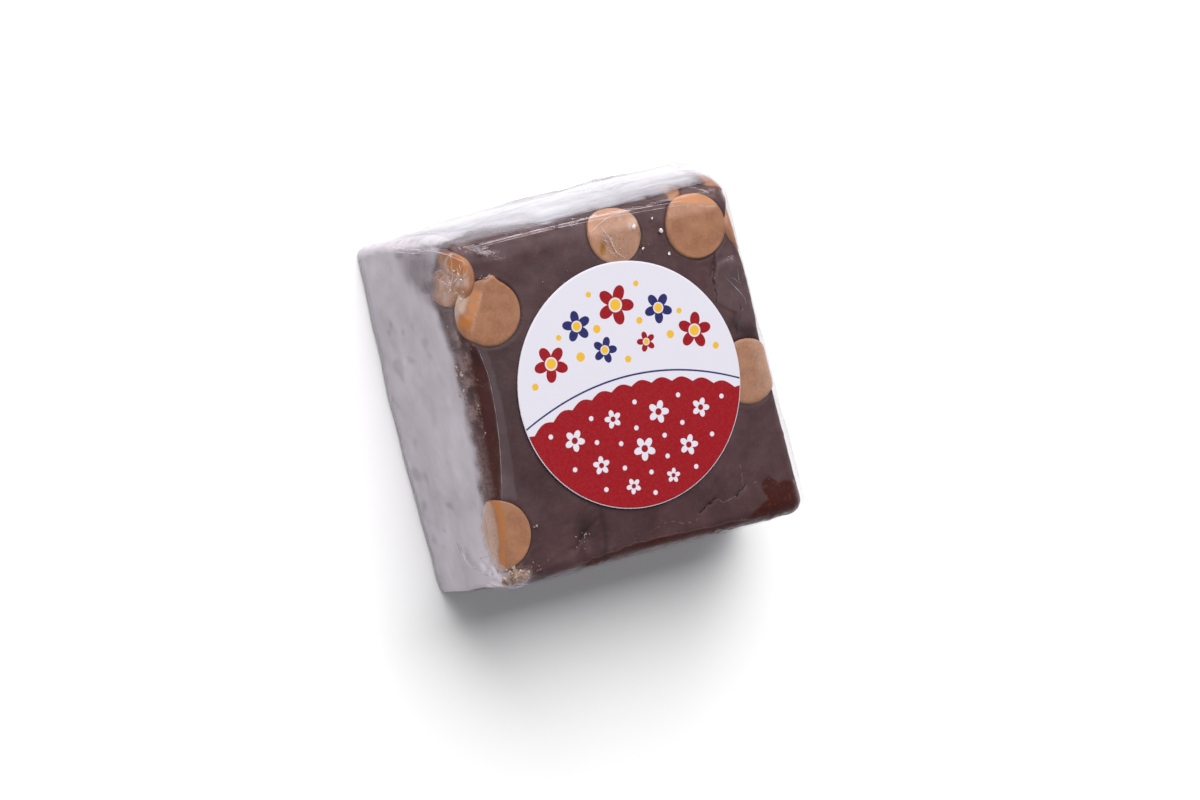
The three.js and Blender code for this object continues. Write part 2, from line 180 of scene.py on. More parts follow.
# How the marks of the knife and the film's waves on the left are drawn out along the axes, and how
# far the fudge stays off the floor.
DRAG_STRETCH = np.array([1.0, 7.0, 1.0])
LEFT_STRETCH = np.array([1.0, 1.0, 4.0])
FLOOR_GAP = 0.05

# A sight line through the film is as long as its thickness over the cosine of the slant plus this, and
# haze grows with it, up to the most.
LEAST_SLANT = 0.06
MOST_HAZE = 0.97

# The haze of a crease, which makes its thread white, partly as cloudy film and partly as a painted
# highlight along a wrinkle, and the least part of its bundle's length that a fine one has.
CREASE_HAZE_AND_HIGHLIGHT = 0.55
SHORTEST_CREASE = 0.15

# The lights, in metres and watts, how bright the room is from the horizon to overhead, and the floor.
LIGHTS = {
    "key": dict(place=(0.3, 1.45, 1.6), size=2.1, power=84.0, colour=(1.0, 0.99, 0.98)),
    "fill": dict(place=(-1.3, -1.4, 1.2), size=1.3, power=11.5, colour=(0.96, 0.97, 1.0)),
}
ROOM = {"From Min": 0.0, "From Max": 0.75, "To Min": 0.47, "To Max": 0.055}
FLOOR_HALF = 3.0

# How finely the surfaces are divided.
TURNS = 720
SIDE_RINGS = 60
TOP_RINGS = 52
DROP_TURNS = 110
DROP_RINGS = 64
STICKER_TURNS = 220
THREAD_TURNS = 8


def smooth(low, high, value):
    """0 below low, 1 above high, and a smooth step between them."""
    t = np.clip((value - low) / (high - low), 0, 1)
    return t * t * (3 - 2 * t)


def mix(a, b, t):
    """a at t 0 and b at t 1."""
    return a + (b - a) * t


def bell(distance, width):
    """1 at distance 0, falling by the square's exponential to nearly 0 at twice the width."""
    return np.exp(-((distance / width) ** 2))


def unit(vectors):
    """Each vector at length 1."""
    return vectors / np.maximum(np.linalg.norm(vectors, axis=-1, keepdims=True), 1e-9)


rng = np.random.default_rng(11)
NOISE_TABLE = rng.uniform(-1, 1, 4096)


def noise(points, size, seed=0):
    """Random heights between -1 and 1 on a cubic lattice of that size, blended by smooth steps."""
    cell = points / size + 19.7 * seed
    low = np.floor(cell).astype(np.int64)
    ease = (cell - low) ** 2 * (3 - 2 * (cell - low))
    total = np.zeros(cell.shape[:-1])
    for corner in itertools.product((0, 1), repeat=3):
        x, y, z = np.moveaxis(low + corner, -1, 0)
        weight = np.prod(np.where(corner, ease, 1 - ease), axis=-1)
        total += weight * NOISE_TABLE[((x * 73856093) ^ (y * 19349663) ^ (z * 83492791)) & 4095]
    return total


def layered(points, size, layers=3, seed=0):
    """Layers of noise, each of half the size and half the height of the one before."""
    return sum(noise(points, size / 2 ** n, seed + n) / 2 ** n for n in range(layers))


def line_distance(x, y, line):
    """Distance in X and Y from each point to a line through several points."""
    nearest = np.full(np.shape(x), np.inf)
    for (ax, ay), (bx, by) in zip(line, line[1:]):
        run_x, run_y = bx - ax, by - ay
        along = np.clip(((x - ax) * run_x + (y - ay) * run_y) / (run_x ** 2 + run_y ** 2), 0, 1)
        nearest = np.minimum(nearest, np.hypot(x - mix(ax, bx, along), y - mix(ay, by, along)))
    return nearest


def line_bell(x, y, line, width):
    """1 on a line, falling off to both sides of it."""
    return bell(line_distance(x, y, line), width)


def from_sticker(x, y):
    """Distance in X and Y outside the sticker's rim."""
    return np.hypot(x - STICKER_MIDDLE[0], y - STICKER_MIDDLE[1]) - STICKER_RADIUS


def patch_distance(x, y, outline):
    """Distance in X and Y to a closed outline, negative inside it, by counting crossings."""
    inside = np.zeros(np.shape(x), bool)
    for (ax, ay), (bx, by) in zip(outline, outline[1:] + outline[:1]):
        rise = by - ay if by != ay else 1e-9
        inside ^= ((ay > y) != (by > y)) & (x < ax + (bx - ax) * (y - ay) / rise)
    distance = line_distance(x, y, outline + outline[:1])
    return np.where(inside, -distance, distance)


def between(x, y, low_line, high_line, soft):
    """1 where X lies between two lines that run along Y, with soft edges and ends."""
    low_x, low_y = np.array(low_line[::-1]).T
    high_x, high_y = np.array(high_line[::-1]).T
    past_low = smooth(-soft, soft, x - np.interp(y, low_y, low_x))
    short_of_high = smooth(-soft, soft, np.interp(y, high_y, high_x) - x)
    start, end = (smooth(place - 1, place + 1, y) for place in (low_y[0], low_y[-1]))
    return past_low * short_of_high * start * (1 - end)


def block_skin(u, v, w):
    """A rounded box with unit parameters u, v and w across X, Y and Z, bent so that its corners meet
    the corners of the top face and of the base. Gives points and the rounded box's own normals."""
    size = np.array([WIDTH, WIDTH, HEIGHT])
    point = np.stack([u, v, w], -1) * size
    radius = mix(BASE_EDGE_RADIUS, TOP_EDGE_RADIUS, smooth(0.3, 0.7, w))
    low = np.stack([radius, radius, np.full_like(radius, BASE_EDGE_RADIUS)], -1)
    high = np.stack([radius, radius, np.full_like(radius, TOP_EDGE_RADIUS)], -1)
    core = np.clip(point, low, size - high)
    normal = unit(point - core)
    on = (core + normal * radius[..., None]) / size
    return bend(on), normal


def bend(on):
    """From unit box coordinates to the block: straight sides that slant from the base to the top face,
    a back that stays wide nearly up to the top, and a left side that bulges a little."""
    a, b, c = np.moveaxis(on, -1, 0)
    shoulder = np.clip(c, 0, 1) ** BACK_SHOULDER_POWER

    def corner(name, axis, share):
        return mix(BASE[name][axis], TOP[name][axis], share)

    left = mix(corner("front_left", 0, c), corner("back_left", 0, c), b)
    right = mix(corner("front_right", 0, c), corner("back_right", 0, c), b)
    front = mix(corner("front_left", 1, c), corner("front_right", 1, c), a)
    back = mix(corner("back_left", 1, shoulder), corner("back_right", 1, shoulder), a)
    bulge = LEFT_BULGE * 4 * b * (1 - b) * (1 - a) ** 2 * (1 - c)
    z = (c * HEIGHT - BASE_RISE) * HEIGHT / (HEIGHT - BASE_RISE)
    return np.stack([mix(left, right, a) - bulge, mix(front, back, b), z], -1)


def unbend(points):
    """Unit box coordinates of points near the block, by a few rounds of dividing by the widths there."""
    on = np.full(points.shape, 0.5)
    on[..., 2] = (points[..., 2] * (HEIGHT - BASE_RISE) / HEIGHT + BASE_RISE) / HEIGHT
    for _ in range(4):
        for axis in (0, 1):
            low, high = on.copy(), on.copy()
            low[..., axis], high[..., axis] = 0, 1
            start, end = bend(low)[..., axis], bend(high)[..., axis]
            on[..., axis] = (points[..., axis] - start) / (end - start)
    return on


def pressed_inside(points, reach):
    """Points moved inwards, across the rounded edges and sides of the block, so that none is more than
    reach outside its skin."""
    size = np.array([WIDTH, WIDTH, HEIGHT])
    on = unbend(points) * size
    core = np.clip(on, TOP_EDGE_RADIUS, size - TOP_EDGE_RADIUS)
    core[..., 2] = np.clip(on[..., 2], BASE_EDGE_RADIUS, HEIGHT - TOP_EDGE_RADIUS)
    away = on - core
    distance = np.linalg.norm(away, axis=-1, keepdims=True)
    limit = TOP_EDGE_RADIUS + reach
    on = np.where(distance > limit, core + away * limit / np.maximum(distance, 1e-9), on)
    return bend(on / size)


def shell_rings(turns=TURNS, side_rings=SIDE_RINGS, top_rings=TOP_RINGS):
    """Rings of unit box points: out over the base, up the four sides, and in over the top face to a
    spot under the sticker."""
    around = np.arange(turns) * 4 / turns
    side, f = np.floor(around).astype(int), around % 1
    edge_u = np.choose(side, [f, 1 + 0 * f, 1 - f, 0 * f])
    edge_v = np.choose(side, [0 * f, f, 1 + 0 * f, 1 - f])
    base = [(r, 0.0) for r in np.linspace(0.15, 1.0, 7)]
    sides = [(1.0, w) for w in np.linspace(0, 1, side_rings + 1)[1:]]
    fine = [(r, 1.0) for r in np.linspace(1.0, 0.5, top_rings + 1)[1:]]
    hidden = [(r, 1.0) for r in np.linspace(0.5, 0.06, 8)[1:]]
    r, w = np.array(base + sides + fine + hidden).T
    u = 0.5 + r[:, None] * (edge_u - 0.5)
    v = 0.5 + r[:, None] * (edge_v - 0.5)
    return u, v, np.repeat(w[:, None], turns, 1)


def closed_faces(rings, turns):
    """Quads between rings that close on themselves, and a fan to a pole at each end."""
    ring = np.arange(rings - 1)[:, None] * turns
    here = np.arange(turns)
    ahead = (here + 1) % turns
    quads = np.stack([ring + here, ring + ahead, ring + turns + ahead, ring + turns + here], -1)
    first_pole, last = rings * turns, (rings - 1) * turns
    start = np.stack([np.full(turns, first_pole), ahead, here], -1)
    end = np.stack([last + here, last + ahead, np.full(turns, first_pole + 1)], -1)
    return quads.reshape(-1, 4).tolist() + start.tolist() + end.tolist()


def with_poles(rings):
    """The rings as one list of points or numbers, and the means of the first and last ring after them."""
    flat = rings.reshape(-1, *rings.shape[2:])
    return np.concatenate([flat, rings[:1].mean(1), rings[-1:].mean(1)])


def add_piece(name, points, faces, material, masks=None, nodes=(), smooth_faces=True):
    """Makes a mesh piece from points in the block's frame and rides it on the root body. masks are
    numbers on the points for the material to read, and nodes are the CAD nodes that it stands for."""
    mesh = bpy.data.meshes.new(name)
    mesh.from_pydata((np.asarray(points) * MM + ORIGIN).tolist(), [], faces)
    mesh.polygons.foreach_set("use_smooth", [smooth_faces] * len(mesh.polygons))
    for mask, values in (masks or {}).items():
        layer = mesh.attributes.new(mask, "FLOAT", "POINT")
        layer.data.foreach_set("value", np.asarray(values, float).ravel())
    mesh.materials.append(material)
    mesh.update()
    piece = bpy.data.objects.new(name, mesh)
    bpy.context.collection.objects.link(piece)
    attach(piece, "root")
    if nodes:
        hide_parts(*nodes)
    return piece


def add_shell(name, rings, material, masks=None, nodes=()):
    """A closed piece from rings of points, with masks given ring by ring."""
    masks = {mask: with_poles(values) for mask, values in (masks or {}).items()}
    faces = closed_faces(*rings.shape[:2])
    return add_piece(name, with_poles(rings), faces, material, masks, nodes)


def smooth_path(points, count):
    """A curve through the points by Catmull and Rom's rule, at count even steps of its parameter."""
    p = np.array(points, float)
    p = np.concatenate([2 * p[:1] - p[1:2], p, 2 * p[-1:] - p[-2:-1]])
    t = np.linspace(0, len(points) - 1, count)
    i = np.minimum(t.astype(int), len(points) - 2)
    f = (t - i)[:, None]
    a, b, c, d = p[i], p[i + 1], p[i + 2], p[i + 3]
    square, cube = 2 * a - 5 * b + 4 * c - d, 3 * b - a - 3 * c + d
    return 0.5 * (2 * b + (c - a) * f + square * f ** 2 + cube * f ** 3)


class Value:
    """A number, colour or vector on a node's output. Arithmetic on it adds Math nodes."""

    def __init__(self, graph, socket):
        self.graph, self.socket = graph, socket

    def math(self, operation, *values):
        return self.graph.add("ShaderNodeMath", {"operation": operation}, dict(enumerate(values)))

    def __add__(self, other):
        return self.math("ADD", self, other)

    def __radd__(self, other):
        return self.math("ADD", other, self)

    def __sub__(self, other):
        return self.math("SUBTRACT", self, other)

    def __rsub__(self, other):
        return self.math("SUBTRACT", other, self)

    def __mul__(self, other):
        return self.math("MULTIPLY", self, other)

    def __rmul__(self, other):
        return self.math("MULTIPLY", other, self)

    def __truediv__(self, other):
        return self.math("DIVIDE", self, other)

    def __rtruediv__(self, other):
        return self.math("DIVIDE", other, self)

    def __pow__(self, other):
        return self.math("POWER", self, other)

    def __abs__(self):
        return self.math("ABSOLUTE", self)

    def smaller(self, other):
        return self.math("MINIMUM", self, other)

    def larger(self, other):
        return self.math("MAXIMUM", self, other)

    def step(self, low, high):
        """0 below low, 1 above high, and a smooth step between them."""
        settings = {"interpolation_type": "SMOOTHSTEP"}
        inputs = {"Value": self, "From Min": low, "From Max": high}
        return self.graph.add("ShaderNodeMapRange", settings, inputs)


class Graph:
    """One material's nodes. Patterns read the block's own frame, in millimetres."""

    def __init__(self, name):
        self.material = bpy.data.materials.new(name)
        self.material.use_nodes = True
        self.tree = self.material.node_tree
        self.tree.nodes.clear()
        self.place = self.block_place()

    def add(self, kind, settings=(), inputs=(), output=0):
        """One node: its settings first, then the values or links of its sockets. Gives one output."""
        node = self.tree.nodes.new(kind)
        for key, value in dict(settings).items():
            setattr(node, key, value)
        for key, value in dict(inputs).items():
            if isinstance(value, Value):
                self.tree.links.new(value.socket, node.inputs[key])
            else:
                node.inputs[key].default_value = value
        return Value(self, node.outputs[output])

    def block_place(self):
        """Object coordinates as millimetres in the block's frame."""
        place = self.add("ShaderNodeTexCoord", output="Object")
        moved = self.add("ShaderNodeVectorMath", {"operation": "SUBTRACT"}, {0: place, 1: tuple(ORIGIN)})
        return self.add("ShaderNodeVectorMath", {"operation": "SCALE"}, {0: moved, "Scale": 1 / MM})

    def split(self, vector):
        """X, Y and Z of a vector."""
        parts = self.add("ShaderNodeSeparateXYZ", inputs={0: vector})
        return [Value(self, output) for output in parts.socket.node.outputs]

    def stretched(self, x, y, z):
        """The place with each axis divided by a length, so that a noise of size 1 gets these lengths."""
        return self.add("ShaderNodeVectorMath", {"operation": "DIVIDE"}, {0: self.place, 1: (x, y, z)})

    def noise(self, size, detail=2.0, rough=0.5, vector=None):
        """Cloudy noise between about 0.2 and 0.8, with blobs of that size in millimetres."""
        inputs = {"Vector": vector or self.place, "Scale": 1 / size, "Detail": detail, "Roughness": rough}
        return self.add("ShaderNodeTexNoise", inputs=inputs, output=0)

    def spots(self, size):
        """Distance to the nearest of scattered points, in cells of that size."""
        inputs = {"Vector": self.place, "Scale": 1 / size}
        return self.add("ShaderNodeTexVoronoi", inputs=inputs, output="Distance")

    def mask(self, name):
        """A number stored on the points of the mesh."""
        return self.add("ShaderNodeAttribute", {"attribute_name": name}, output="Fac")

    def near_line(self, lines, width):
        """1 on lines drawn in X and Y and shaken by noise, fading to 0 at a distance of width."""
        x, y, _ = self.split(self.place)
        here = self.add("ShaderNodeCombineXYZ", inputs={0: x, 1: y})
        inputs = {"Vector": self.place, "Scale": LINE_SHAKE, "Detail": 3.0}
        shake = self.add("ShaderNodeTexNoise", inputs=inputs, output=1)
        shake = self.vector("SUBTRACT", shake, (0.5, 0.5, 0.5))
        here = self.vector("ADD", here, self.vector("MULTIPLY", shake, (LINE_SHAKE, LINE_SHAKE, 0.0)))
        nearest = WIDTH
        for line in lines:
            for (ax, ay), (bx, by) in zip(line, line[1:]):
                run, length = (bx - ax, by - ay, 0.0), math.hypot(bx - ax, by - ay)
                away = self.vector("SUBTRACT", here, (ax, ay, 0.0))
                measure = tuple(part / length ** 2 for part in run)
                share = self.vector("DOT_PRODUCT", away, measure, output=1)
                foot = self.vector("MULTIPLY", run, self.repeated(share.larger(0).smaller(1)))
                nearest = self.vector("DISTANCE", away, foot, output=1).smaller(nearest)
        return 1 - nearest.step(0.25 * width, width)

    def line_height(self, x, line):
        """Y of a line through several points, at each X."""
        height = line[0][1]
        for (ax, ay), (bx, by) in zip(line, line[1:]):
            height = (x - ax).larger(0).smaller(bx - ax) * ((by - ay) / (bx - ax)) + height
        return height

    def vector(self, operation, a, b, output=0):
        """Arithmetic on vectors."""
        return self.add("ShaderNodeVectorMath", {"operation": operation}, {0: a, 1: b}, output)

    def repeated(self, value):
        """A vector of one number three times."""
        return self.add("ShaderNodeCombineXYZ", inputs={0: value, 1: value, 2: value})

    def facing(self):
        """0 where the surface faces the eye and 1 at grazing sight, alike on both sides."""
        return self.add("ShaderNodeLayerWeight", inputs={"Blend": 0.5}, output="Facing")

    def blend(self, factor, a, b):
        """Colour a at factor 0 and colour b at factor 1."""
        node = self.add("ShaderNodeMix", {"data_type": "RGBA"}, {0: factor}, output=2)
        for index, colour in ((6, a), (7, b)):
            if isinstance(colour, Value):
                self.tree.links.new(colour.socket, node.socket.node.inputs[index])
            else:
                node.socket.node.inputs[index].default_value = (*colour, 1.0)
        return node

    def coated(self, colour, *coats):
        """A colour with coats laid over it in turn, each an amount from 0 to 1 and a colour."""
        for amount, coat in coats:
            colour = self.blend(amount, colour, coat)
        return colour

    def bump(self, height, distance, strength=1.0):
        """A normal that leans with a height between 0 and 1 that stands for this many millimetres."""
        inputs = {"Height": height, "Distance": distance * MM, "Strength": strength}
        return self.add("ShaderNodeBump", inputs=inputs)

    def surface(self, **inputs):
        """A Principled shader. Underscores in names stand for spaces."""
        named = {name.replace("_", " "): value for name, value in inputs.items()}
        return self.add("ShaderNodeBsdfPrincipled", inputs=named)

    def finish(self, shader):
        """Sends the shader to the material's output."""
        output = self.tree.nodes.new("ShaderNodeOutputMaterial")
        self.tree.links.new(shader.socket, output.inputs["Surface"])
        return self.material


# Colours of the fudge and of the drops. The fudge's shaded colour and its crack colour are painted
# shade, and the drops' rubbed colour is partly a painted highlight along two bevel ridges.
FUDGE = {
    "dull": (0.050, 0.0190, 0.0215), "mauve": (0.072, 0.0300, 0.0330), "scuffed": (0.115, 0.062, 0.065),
    "hollow": (0.040, 0.0135, 0.0150), "grainy": (0.086, 0.042, 0.041), "moist": (0.047, 0.0088, 0.0060),
    "moist crumb": (0.115, 0.034, 0.018), "lifted rim": (0.19, 0.10, 0.09), "shaded": (0.018, 0.006, 0.0055),
    "dusty": (0.25, 0.158, 0.142), "speck": (0.20, 0.14, 0.12), "flake": (0.25, 0.16, 0.14),
    # Painted shade for the cracks, nearly black.
    "crack_shade": (0.0035, 0.0015, 0.0015),
}
DROP = {
    "tan": (0.285, 0.121, 0.058), "light tan": (0.365, 0.165, 0.085), "grainy": (0.42, 0.215, 0.120),
    "speck": (0.16, 0.055, 0.020), "cut": (0.44, 0.165, 0.045), "rubbed": (0.52, 0.38, 0.31),
    "dent": (0.31, 0.135, 0.016), "smeared": (0.062, 0.026, 0.026),
}
FILM = {"dusty": (0.79, 0.725, 0.795), "gathered": (0.605, 0.597, 0.64), "clear": (0.985, 0.985, 0.99, 1)}


def fudge_finish():
    """Dense dark chocolate: dull mauve with faint scuffs where the film stands off it, glossy red-brown
    where it is moist, pale where flakes lift and crumbs lie, darker with painted shade in the dip, along
    folds and round the drops, and nearly black with painted shade in cracks."""
    g = Graph("dark_chocolate_fudge")
    wet, pale, shade = g.mask("wet"), g.mask("pale"), g.mask("shade")
    cloud, grain, broken = g.noise(6.0, 3.0), g.noise(0.5, 3.0), g.noise(1.3, 2.0)
    scuffs, speck = g.noise(2.6, 4.0, 0.62), 1 - g.spots(1.7).step(0.04, 0.12)
    x, y, z = g.split(g.place)
    front = g.line_height(x, WET_FRONT) - y + (broken - 0.5) * 0.9 + (grain - 0.5) * 0.5
    ends = x.step(-23.5, -19.5) * (1 - x.step(22.0, 25.0)) * z.step(18.0, 20.0)
    wet = wet.larger(front.step(-0.05, 0.10) * ends * 0.9)
    lifted = (1 - abs(front + 0.12).step(0.04, 0.16)) * ends
    flakes = g.near_line(FLAKE_EDGES, 0.13) * broken.step(0.42, 0.56)
    cracks = g.near_line(CRACKS, 0.21) * grain.step(0.28, 0.38)
    cracks = cracks.larger(g.near_line(LOBE_CRACKS, 0.15) * broken.step(0.38, 0.5) * 0.9)
    crumbly = grain.step(0.50, 0.75) * broken.step(0.45, 0.6)
    colour = g.coated(
        FUDGE["dull"],
        (cloud.step(0.3, 0.7), FUDGE["mauve"]),
        (scuffs.step(0.50, 0.68) * 0.30, FUDGE["scuffed"]),
        ((1 - scuffs.step(0.36, 0.46)) * 0.35, FUDGE["hollow"]),
        (grain.step(0.35, 0.75) * 0.25, FUDGE["grainy"]),
        (wet, g.blend(crumbly, FUDGE["moist"], FUDGE["moist crumb"])),
        (lifted * 0.35, FUDGE["lifted rim"]),
        # Painted shade: in the dip, along the lines of painted shade, in a patch at the left and round the
        # drops.
        (shade, FUDGE["shaded"]),
        ((pale * grain.step(0.2, 0.6)).smaller(1), FUDGE["dusty"]),
        (speck * 0.14, FUDGE["speck"]),
        (flakes * 0.38, FUDGE["flake"]),
        # Painted shade, nearly black, in the cracks.
        (cracks, FUDGE["crack_shade"]),
    )
    rough = 0.55 - wet * 0.30 + grain * 0.1
    height = grain * 0.5 + broken * 0.7 - cracks * 2.0 + flakes * 0.7 + scuffs * 0.6
    normal = g.bump(height, 0.07, 0.6)
    return g.finish(g.surface(Base_Color=colour, Roughness=rough, Normal=normal, Specular_IOR_Level=0.32))


def drop_finish():
    """Smooth tan confection with faint mottling and specks. It is more orange where it was bent or cut,
    whitish where film rubs, painted with a highlight along the bevel ridges of drop_left and
    drop_back_right and at drop_left's rim, ochre in a dent, and dark where fudge is smeared over it."""
    g = Graph("peanut_butter_confection")
    cut, dent, milky, smear = g.mask("cut"), g.mask("dent"), g.mask("milky"), g.mask("smear")
    cloud, grain, specks = g.noise(2.6, 2.0), g.noise(0.45, 2.0), g.spots(1.9)
    colour = g.coated(
        DROP["tan"],
        (cloud.step(0.3, 0.7), DROP["light tan"]),
        (grain.step(0.35, 0.8) * 0.4, DROP["grainy"]),
        ((1 - specks.step(0.05, 0.13)) * cloud.step(0.45, 0.6) * 0.75, DROP["speck"]),
        (cut, DROP["cut"]),
        # The rubbed colour: whitish film rub, and painted highlight on two drops' bevel ridges and
        # drop_left's rim.
        ((milky * (0.5 + grain)).smaller(1) * 0.8, DROP["rubbed"]),
        (dent, DROP["dent"]),
        (smear, DROP["smeared"]),
    )
    rough = 0.5 - cut * 0.12 - grain * 0.05
    normal = g.bump(grain * 0.5 + cloud, 0.05, 0.6)
    inputs = dict(Subsurface_Weight=0.06, Subsurface_Scale=0.6 * MM, Specular_IOR_Level=0.4)
    return g.finish(g.surface(Base_Color=colour, Roughness=rough, Normal=normal, **inputs))


def film_finish():
    """Thin clear film. A mirror share grows towards grazing sight, and is less where the film clings to
    moist fudge. Haze scatters light where the film is layered, dusty or stands off, and is streaked
    along the pleats where it is gathered. The rest is seen straight through."""
    g = Graph("clear_food_film")
    haze, cling, gathered = g.mask("haze"), g.mask("cling"), g.mask("gathered")
    x, y, z = g.split(g.place)
    lengthwise = {0: (x + y) / 14.0, 1: (z + 0.5 * y) / 1.3, 2: (x - y) / 30.0}
    along = g.add("ShaderNodeCombineXYZ", inputs=lengthwise)
    pleats = g.noise(1.0, 3.0, 0.5, along)
    fine = g.noise(0.3, 2.0, 0.5, along)
    streaks = pleats.step(0.34, 0.66) * 0.75 + fine.step(0.35, 0.65) * 0.25
    cloud = g.noise(1.0, 3.0, 0.5, g.stretched(4.5, 13.0, 3.5))
    veil = (haze * (1 + gathered * (streaks - 0.5) * 0.9 + (cloud - 0.5) * 0.55)).smaller(MOST_HAZE)
    slanting = g.facing()
    veil = 1 - (1 - veil) ** (1 / (1 + LEAST_SLANT - slanting))
    mirror = (0.052 + 0.90 * slanting ** 5) * (1 - cling * 0.93) * (1 - gathered * 0.6)
    share = 1 - (1 - mirror) * (1 - veil)
    rough = 0.07 + 0.45 * (veil / share)
    colour = g.blend(gathered, FILM["dusty"], FILM["gathered"])
    height = g.noise(3.0, 2.0) * 0.3 + pleats * gathered
    normal = g.bump(height, 0.12, 0.5)
    film = g.surface(Base_Color=colour, Roughness=rough, Metallic=mirror / share * (1 - veil), Normal=normal)
    clear = g.add("ShaderNodeBsdfTransparent", inputs={"Color": FILM["clear"]})
    shader = g.add("ShaderNodeMixShader", inputs={0: share, 1: clear, 2: film})
    return g.finish(shader)


def sticker_finish():
    """Glossy white paper with a printed red field below an arched, scalloped edge and a thin navy line.
    A garland of blossoms in three sizes hangs over the white, and small white ones are strewn on red."""
    g = Graph("printed_sticker_paper")
    x, y, _ = g.split(g.vector("SUBTRACT", g.place, (*STICKER_MIDDLE, 0)))
    edge = 0.07

    def inside(distance):
        return 1 - distance.step(-edge, edge)

    def circle(middle, radius):
        return ((x - middle[0]) ** 2 + (y - middle[1]) ** 2) ** 0.5 - radius

    def blossom(middle, radius, turn):
        across, up = x - middle[0], y - middle[1]
        angle = (up.math("ARCTAN2", up, across) + turn) * (PETALS / 2)
        petal = abs(angle.math("COSINE", angle))
        return circle(middle, 0) - radius * mix(NOTCH, 1, petal)

    white, red = (0.645, 0.632, 0.708), (0.272, 0.0035, 0.0085)
    navy, yellow = (0.016, 0.018, 0.110), (0.72, 0.42, 0.035)
    ripple = x * (math.pi / SCALLOP)
    arch = y + x ** 2 / ARCH_SPAN + 0.3
    field = arch - SCALLOP_DEPTH * abs(ripple.math("SINE", ripple))
    colour = g.blend(inside(field), white, red)
    colour = g.blend(inside(abs(arch - NAVY_LINE_AT) - NAVY_LINE_HALF), colour, navy)
    for middle, radius, turn, petals in GARLAND:
        colour = g.blend(inside(blossom(middle, radius, turn)), colour, (red, navy)[petals])
        colour = g.blend(inside(circle(middle, 0.36 * radius)), colour, white)
        colour = g.blend(inside(circle(middle, 0.28 * radius)), colour, yellow)
    for middle, radius in GARLAND_DOTS:
        colour = g.blend(inside(circle(middle, radius)), colour, yellow)
    for middle, radius, turn in STREWN:
        colour = g.blend(inside(blossom(middle, radius, turn)), colour, white)
        colour = g.blend(inside(circle(middle, 0.3 * radius)), colour, red)
    for middle in STREWN_DOTS:
        colour = g.blend(inside(circle(middle, 0.42)), colour, white)
    colour = g.blend(inside(STICKER_RADIUS - PAPER_RIM - circle((0, 0), 0)), colour, white)
    fibres = g.noise(0.35, 2.0)
    colour = g.blend(fibres.step(0.3, 0.8) * 0.025, colour, (0.5, 0.45, 0.5))
    normal = g.bump(fibres * 0.3 + g.noise(4.0), 0.03, 0.5)
    rough = 0.42 + fibres * 0.1
    return g.finish(g.surface(Base_Color=colour, Roughness=rough, Normal=normal, Specular_IOR_Level=0.2))


# The print: petals of a blossom and how deep the notches between them reach, the scallops and the
# arch of the red field's edge, the navy line above it, and the bare rim.
PETALS, NOTCH = 5, 0.42
SCALLOP, SCALLOP_DEPTH, ARCH_SPAN = 3.9, 0.75, 88.0
NAVY_LINE_AT, NAVY_LINE_HALF = 1.9, 0.16
PAPER_RIM = 0.13

# The print's motifs: middle, radius, turn and colour, from the sticker's middle.
GARLAND = [
    ((0.0, 13.9), 3.5, 0.2, 0), ((-7.9, 11.8), 2.7, 0.9, 1), ((7.9, 11.8), 2.7, 1.7, 1),
    ((-13.9, 6.6), 3.2, 0.5, 0), ((13.9, 6.6), 3.2, 1.2, 0), ((-3.6, 6.8), 2.3, 0.1, 1),
    ((4.4, 6.6), 1.8, 0.8, 0),
]
GARLAND_DOTS = [
    ((-4.3, 10.6), 0.7), ((3.9, 10.4), 0.6), ((-8.3, 6.6), 0.8), ((9.2, 6.9), 0.7), ((-11.6, 10.6), 0.5),
    ((11.7, 10.5), 0.5), ((0.4, 4.4), 0.6), ((-4.6, 16.6), 0.5), ((4.6, 16.7), 0.5), ((-17.6, 3.4), 0.6),
    ((17.4, 3.2), 0.6),
]
STREWN = [
    ((-12.4, -7.0), 1.9, 0.3), ((-4.6, -5.0), 1.6, 0.8), ((4.1, -5.6), 2.0, 1.4), ((12.2, -6.6), 1.7, 0.2),
    ((-8.4, -12.2), 1.6, 1.0), ((0.2, -11.2), 2.1, 0.5), ((8.6, -12.4), 1.8, 0.1), ((-3.2, -17.0), 1.4, 0.6),
    ((4.6, -16.9), 1.3, 1.2),
]
STREWN_DOTS = [
    (-8.6, -4.0), (0.0, -3.0), (8.4, -3.6), (-16.6, -5.4), (16.6, -5.6), (-8.4, -8.2), (-0.6, -7.4),
    (8.2, -8.4), (-13.4, -11.8), (-4.0, -9.4), (4.4, -9.8), (13.4, -11.6), (-4.2, -13.6), (4.2, -13.4),
    (-8.4, -16.4), (0.6, -15.4), (9.2, -16.4), (0.6, -19.0),
]


def crumb_finish(name, dark, light):
    """Crumbs from dark to light, with a little grain."""
    g = Graph(name)
    colour = g.blend(g.noise(0.8).step(0.35, 0.65), dark, light)
    rough = 0.55 - g.noise(0.5) * 0.3
    return g.finish(g.surface(Base_Color=colour, Roughness=rough, Normal=g.bump(g.noise(0.2), 0.05)))


def floor_finish():
    """Plain pale paper."""
    g = Graph("pale_floor")
    colour = g.blend(g.noise(90.0, 1.0), (0.94, 0.94, 0.945), (0.96, 0.96, 0.965))
    return g.finish(g.surface(Base_Color=colour, Roughness=0.9))


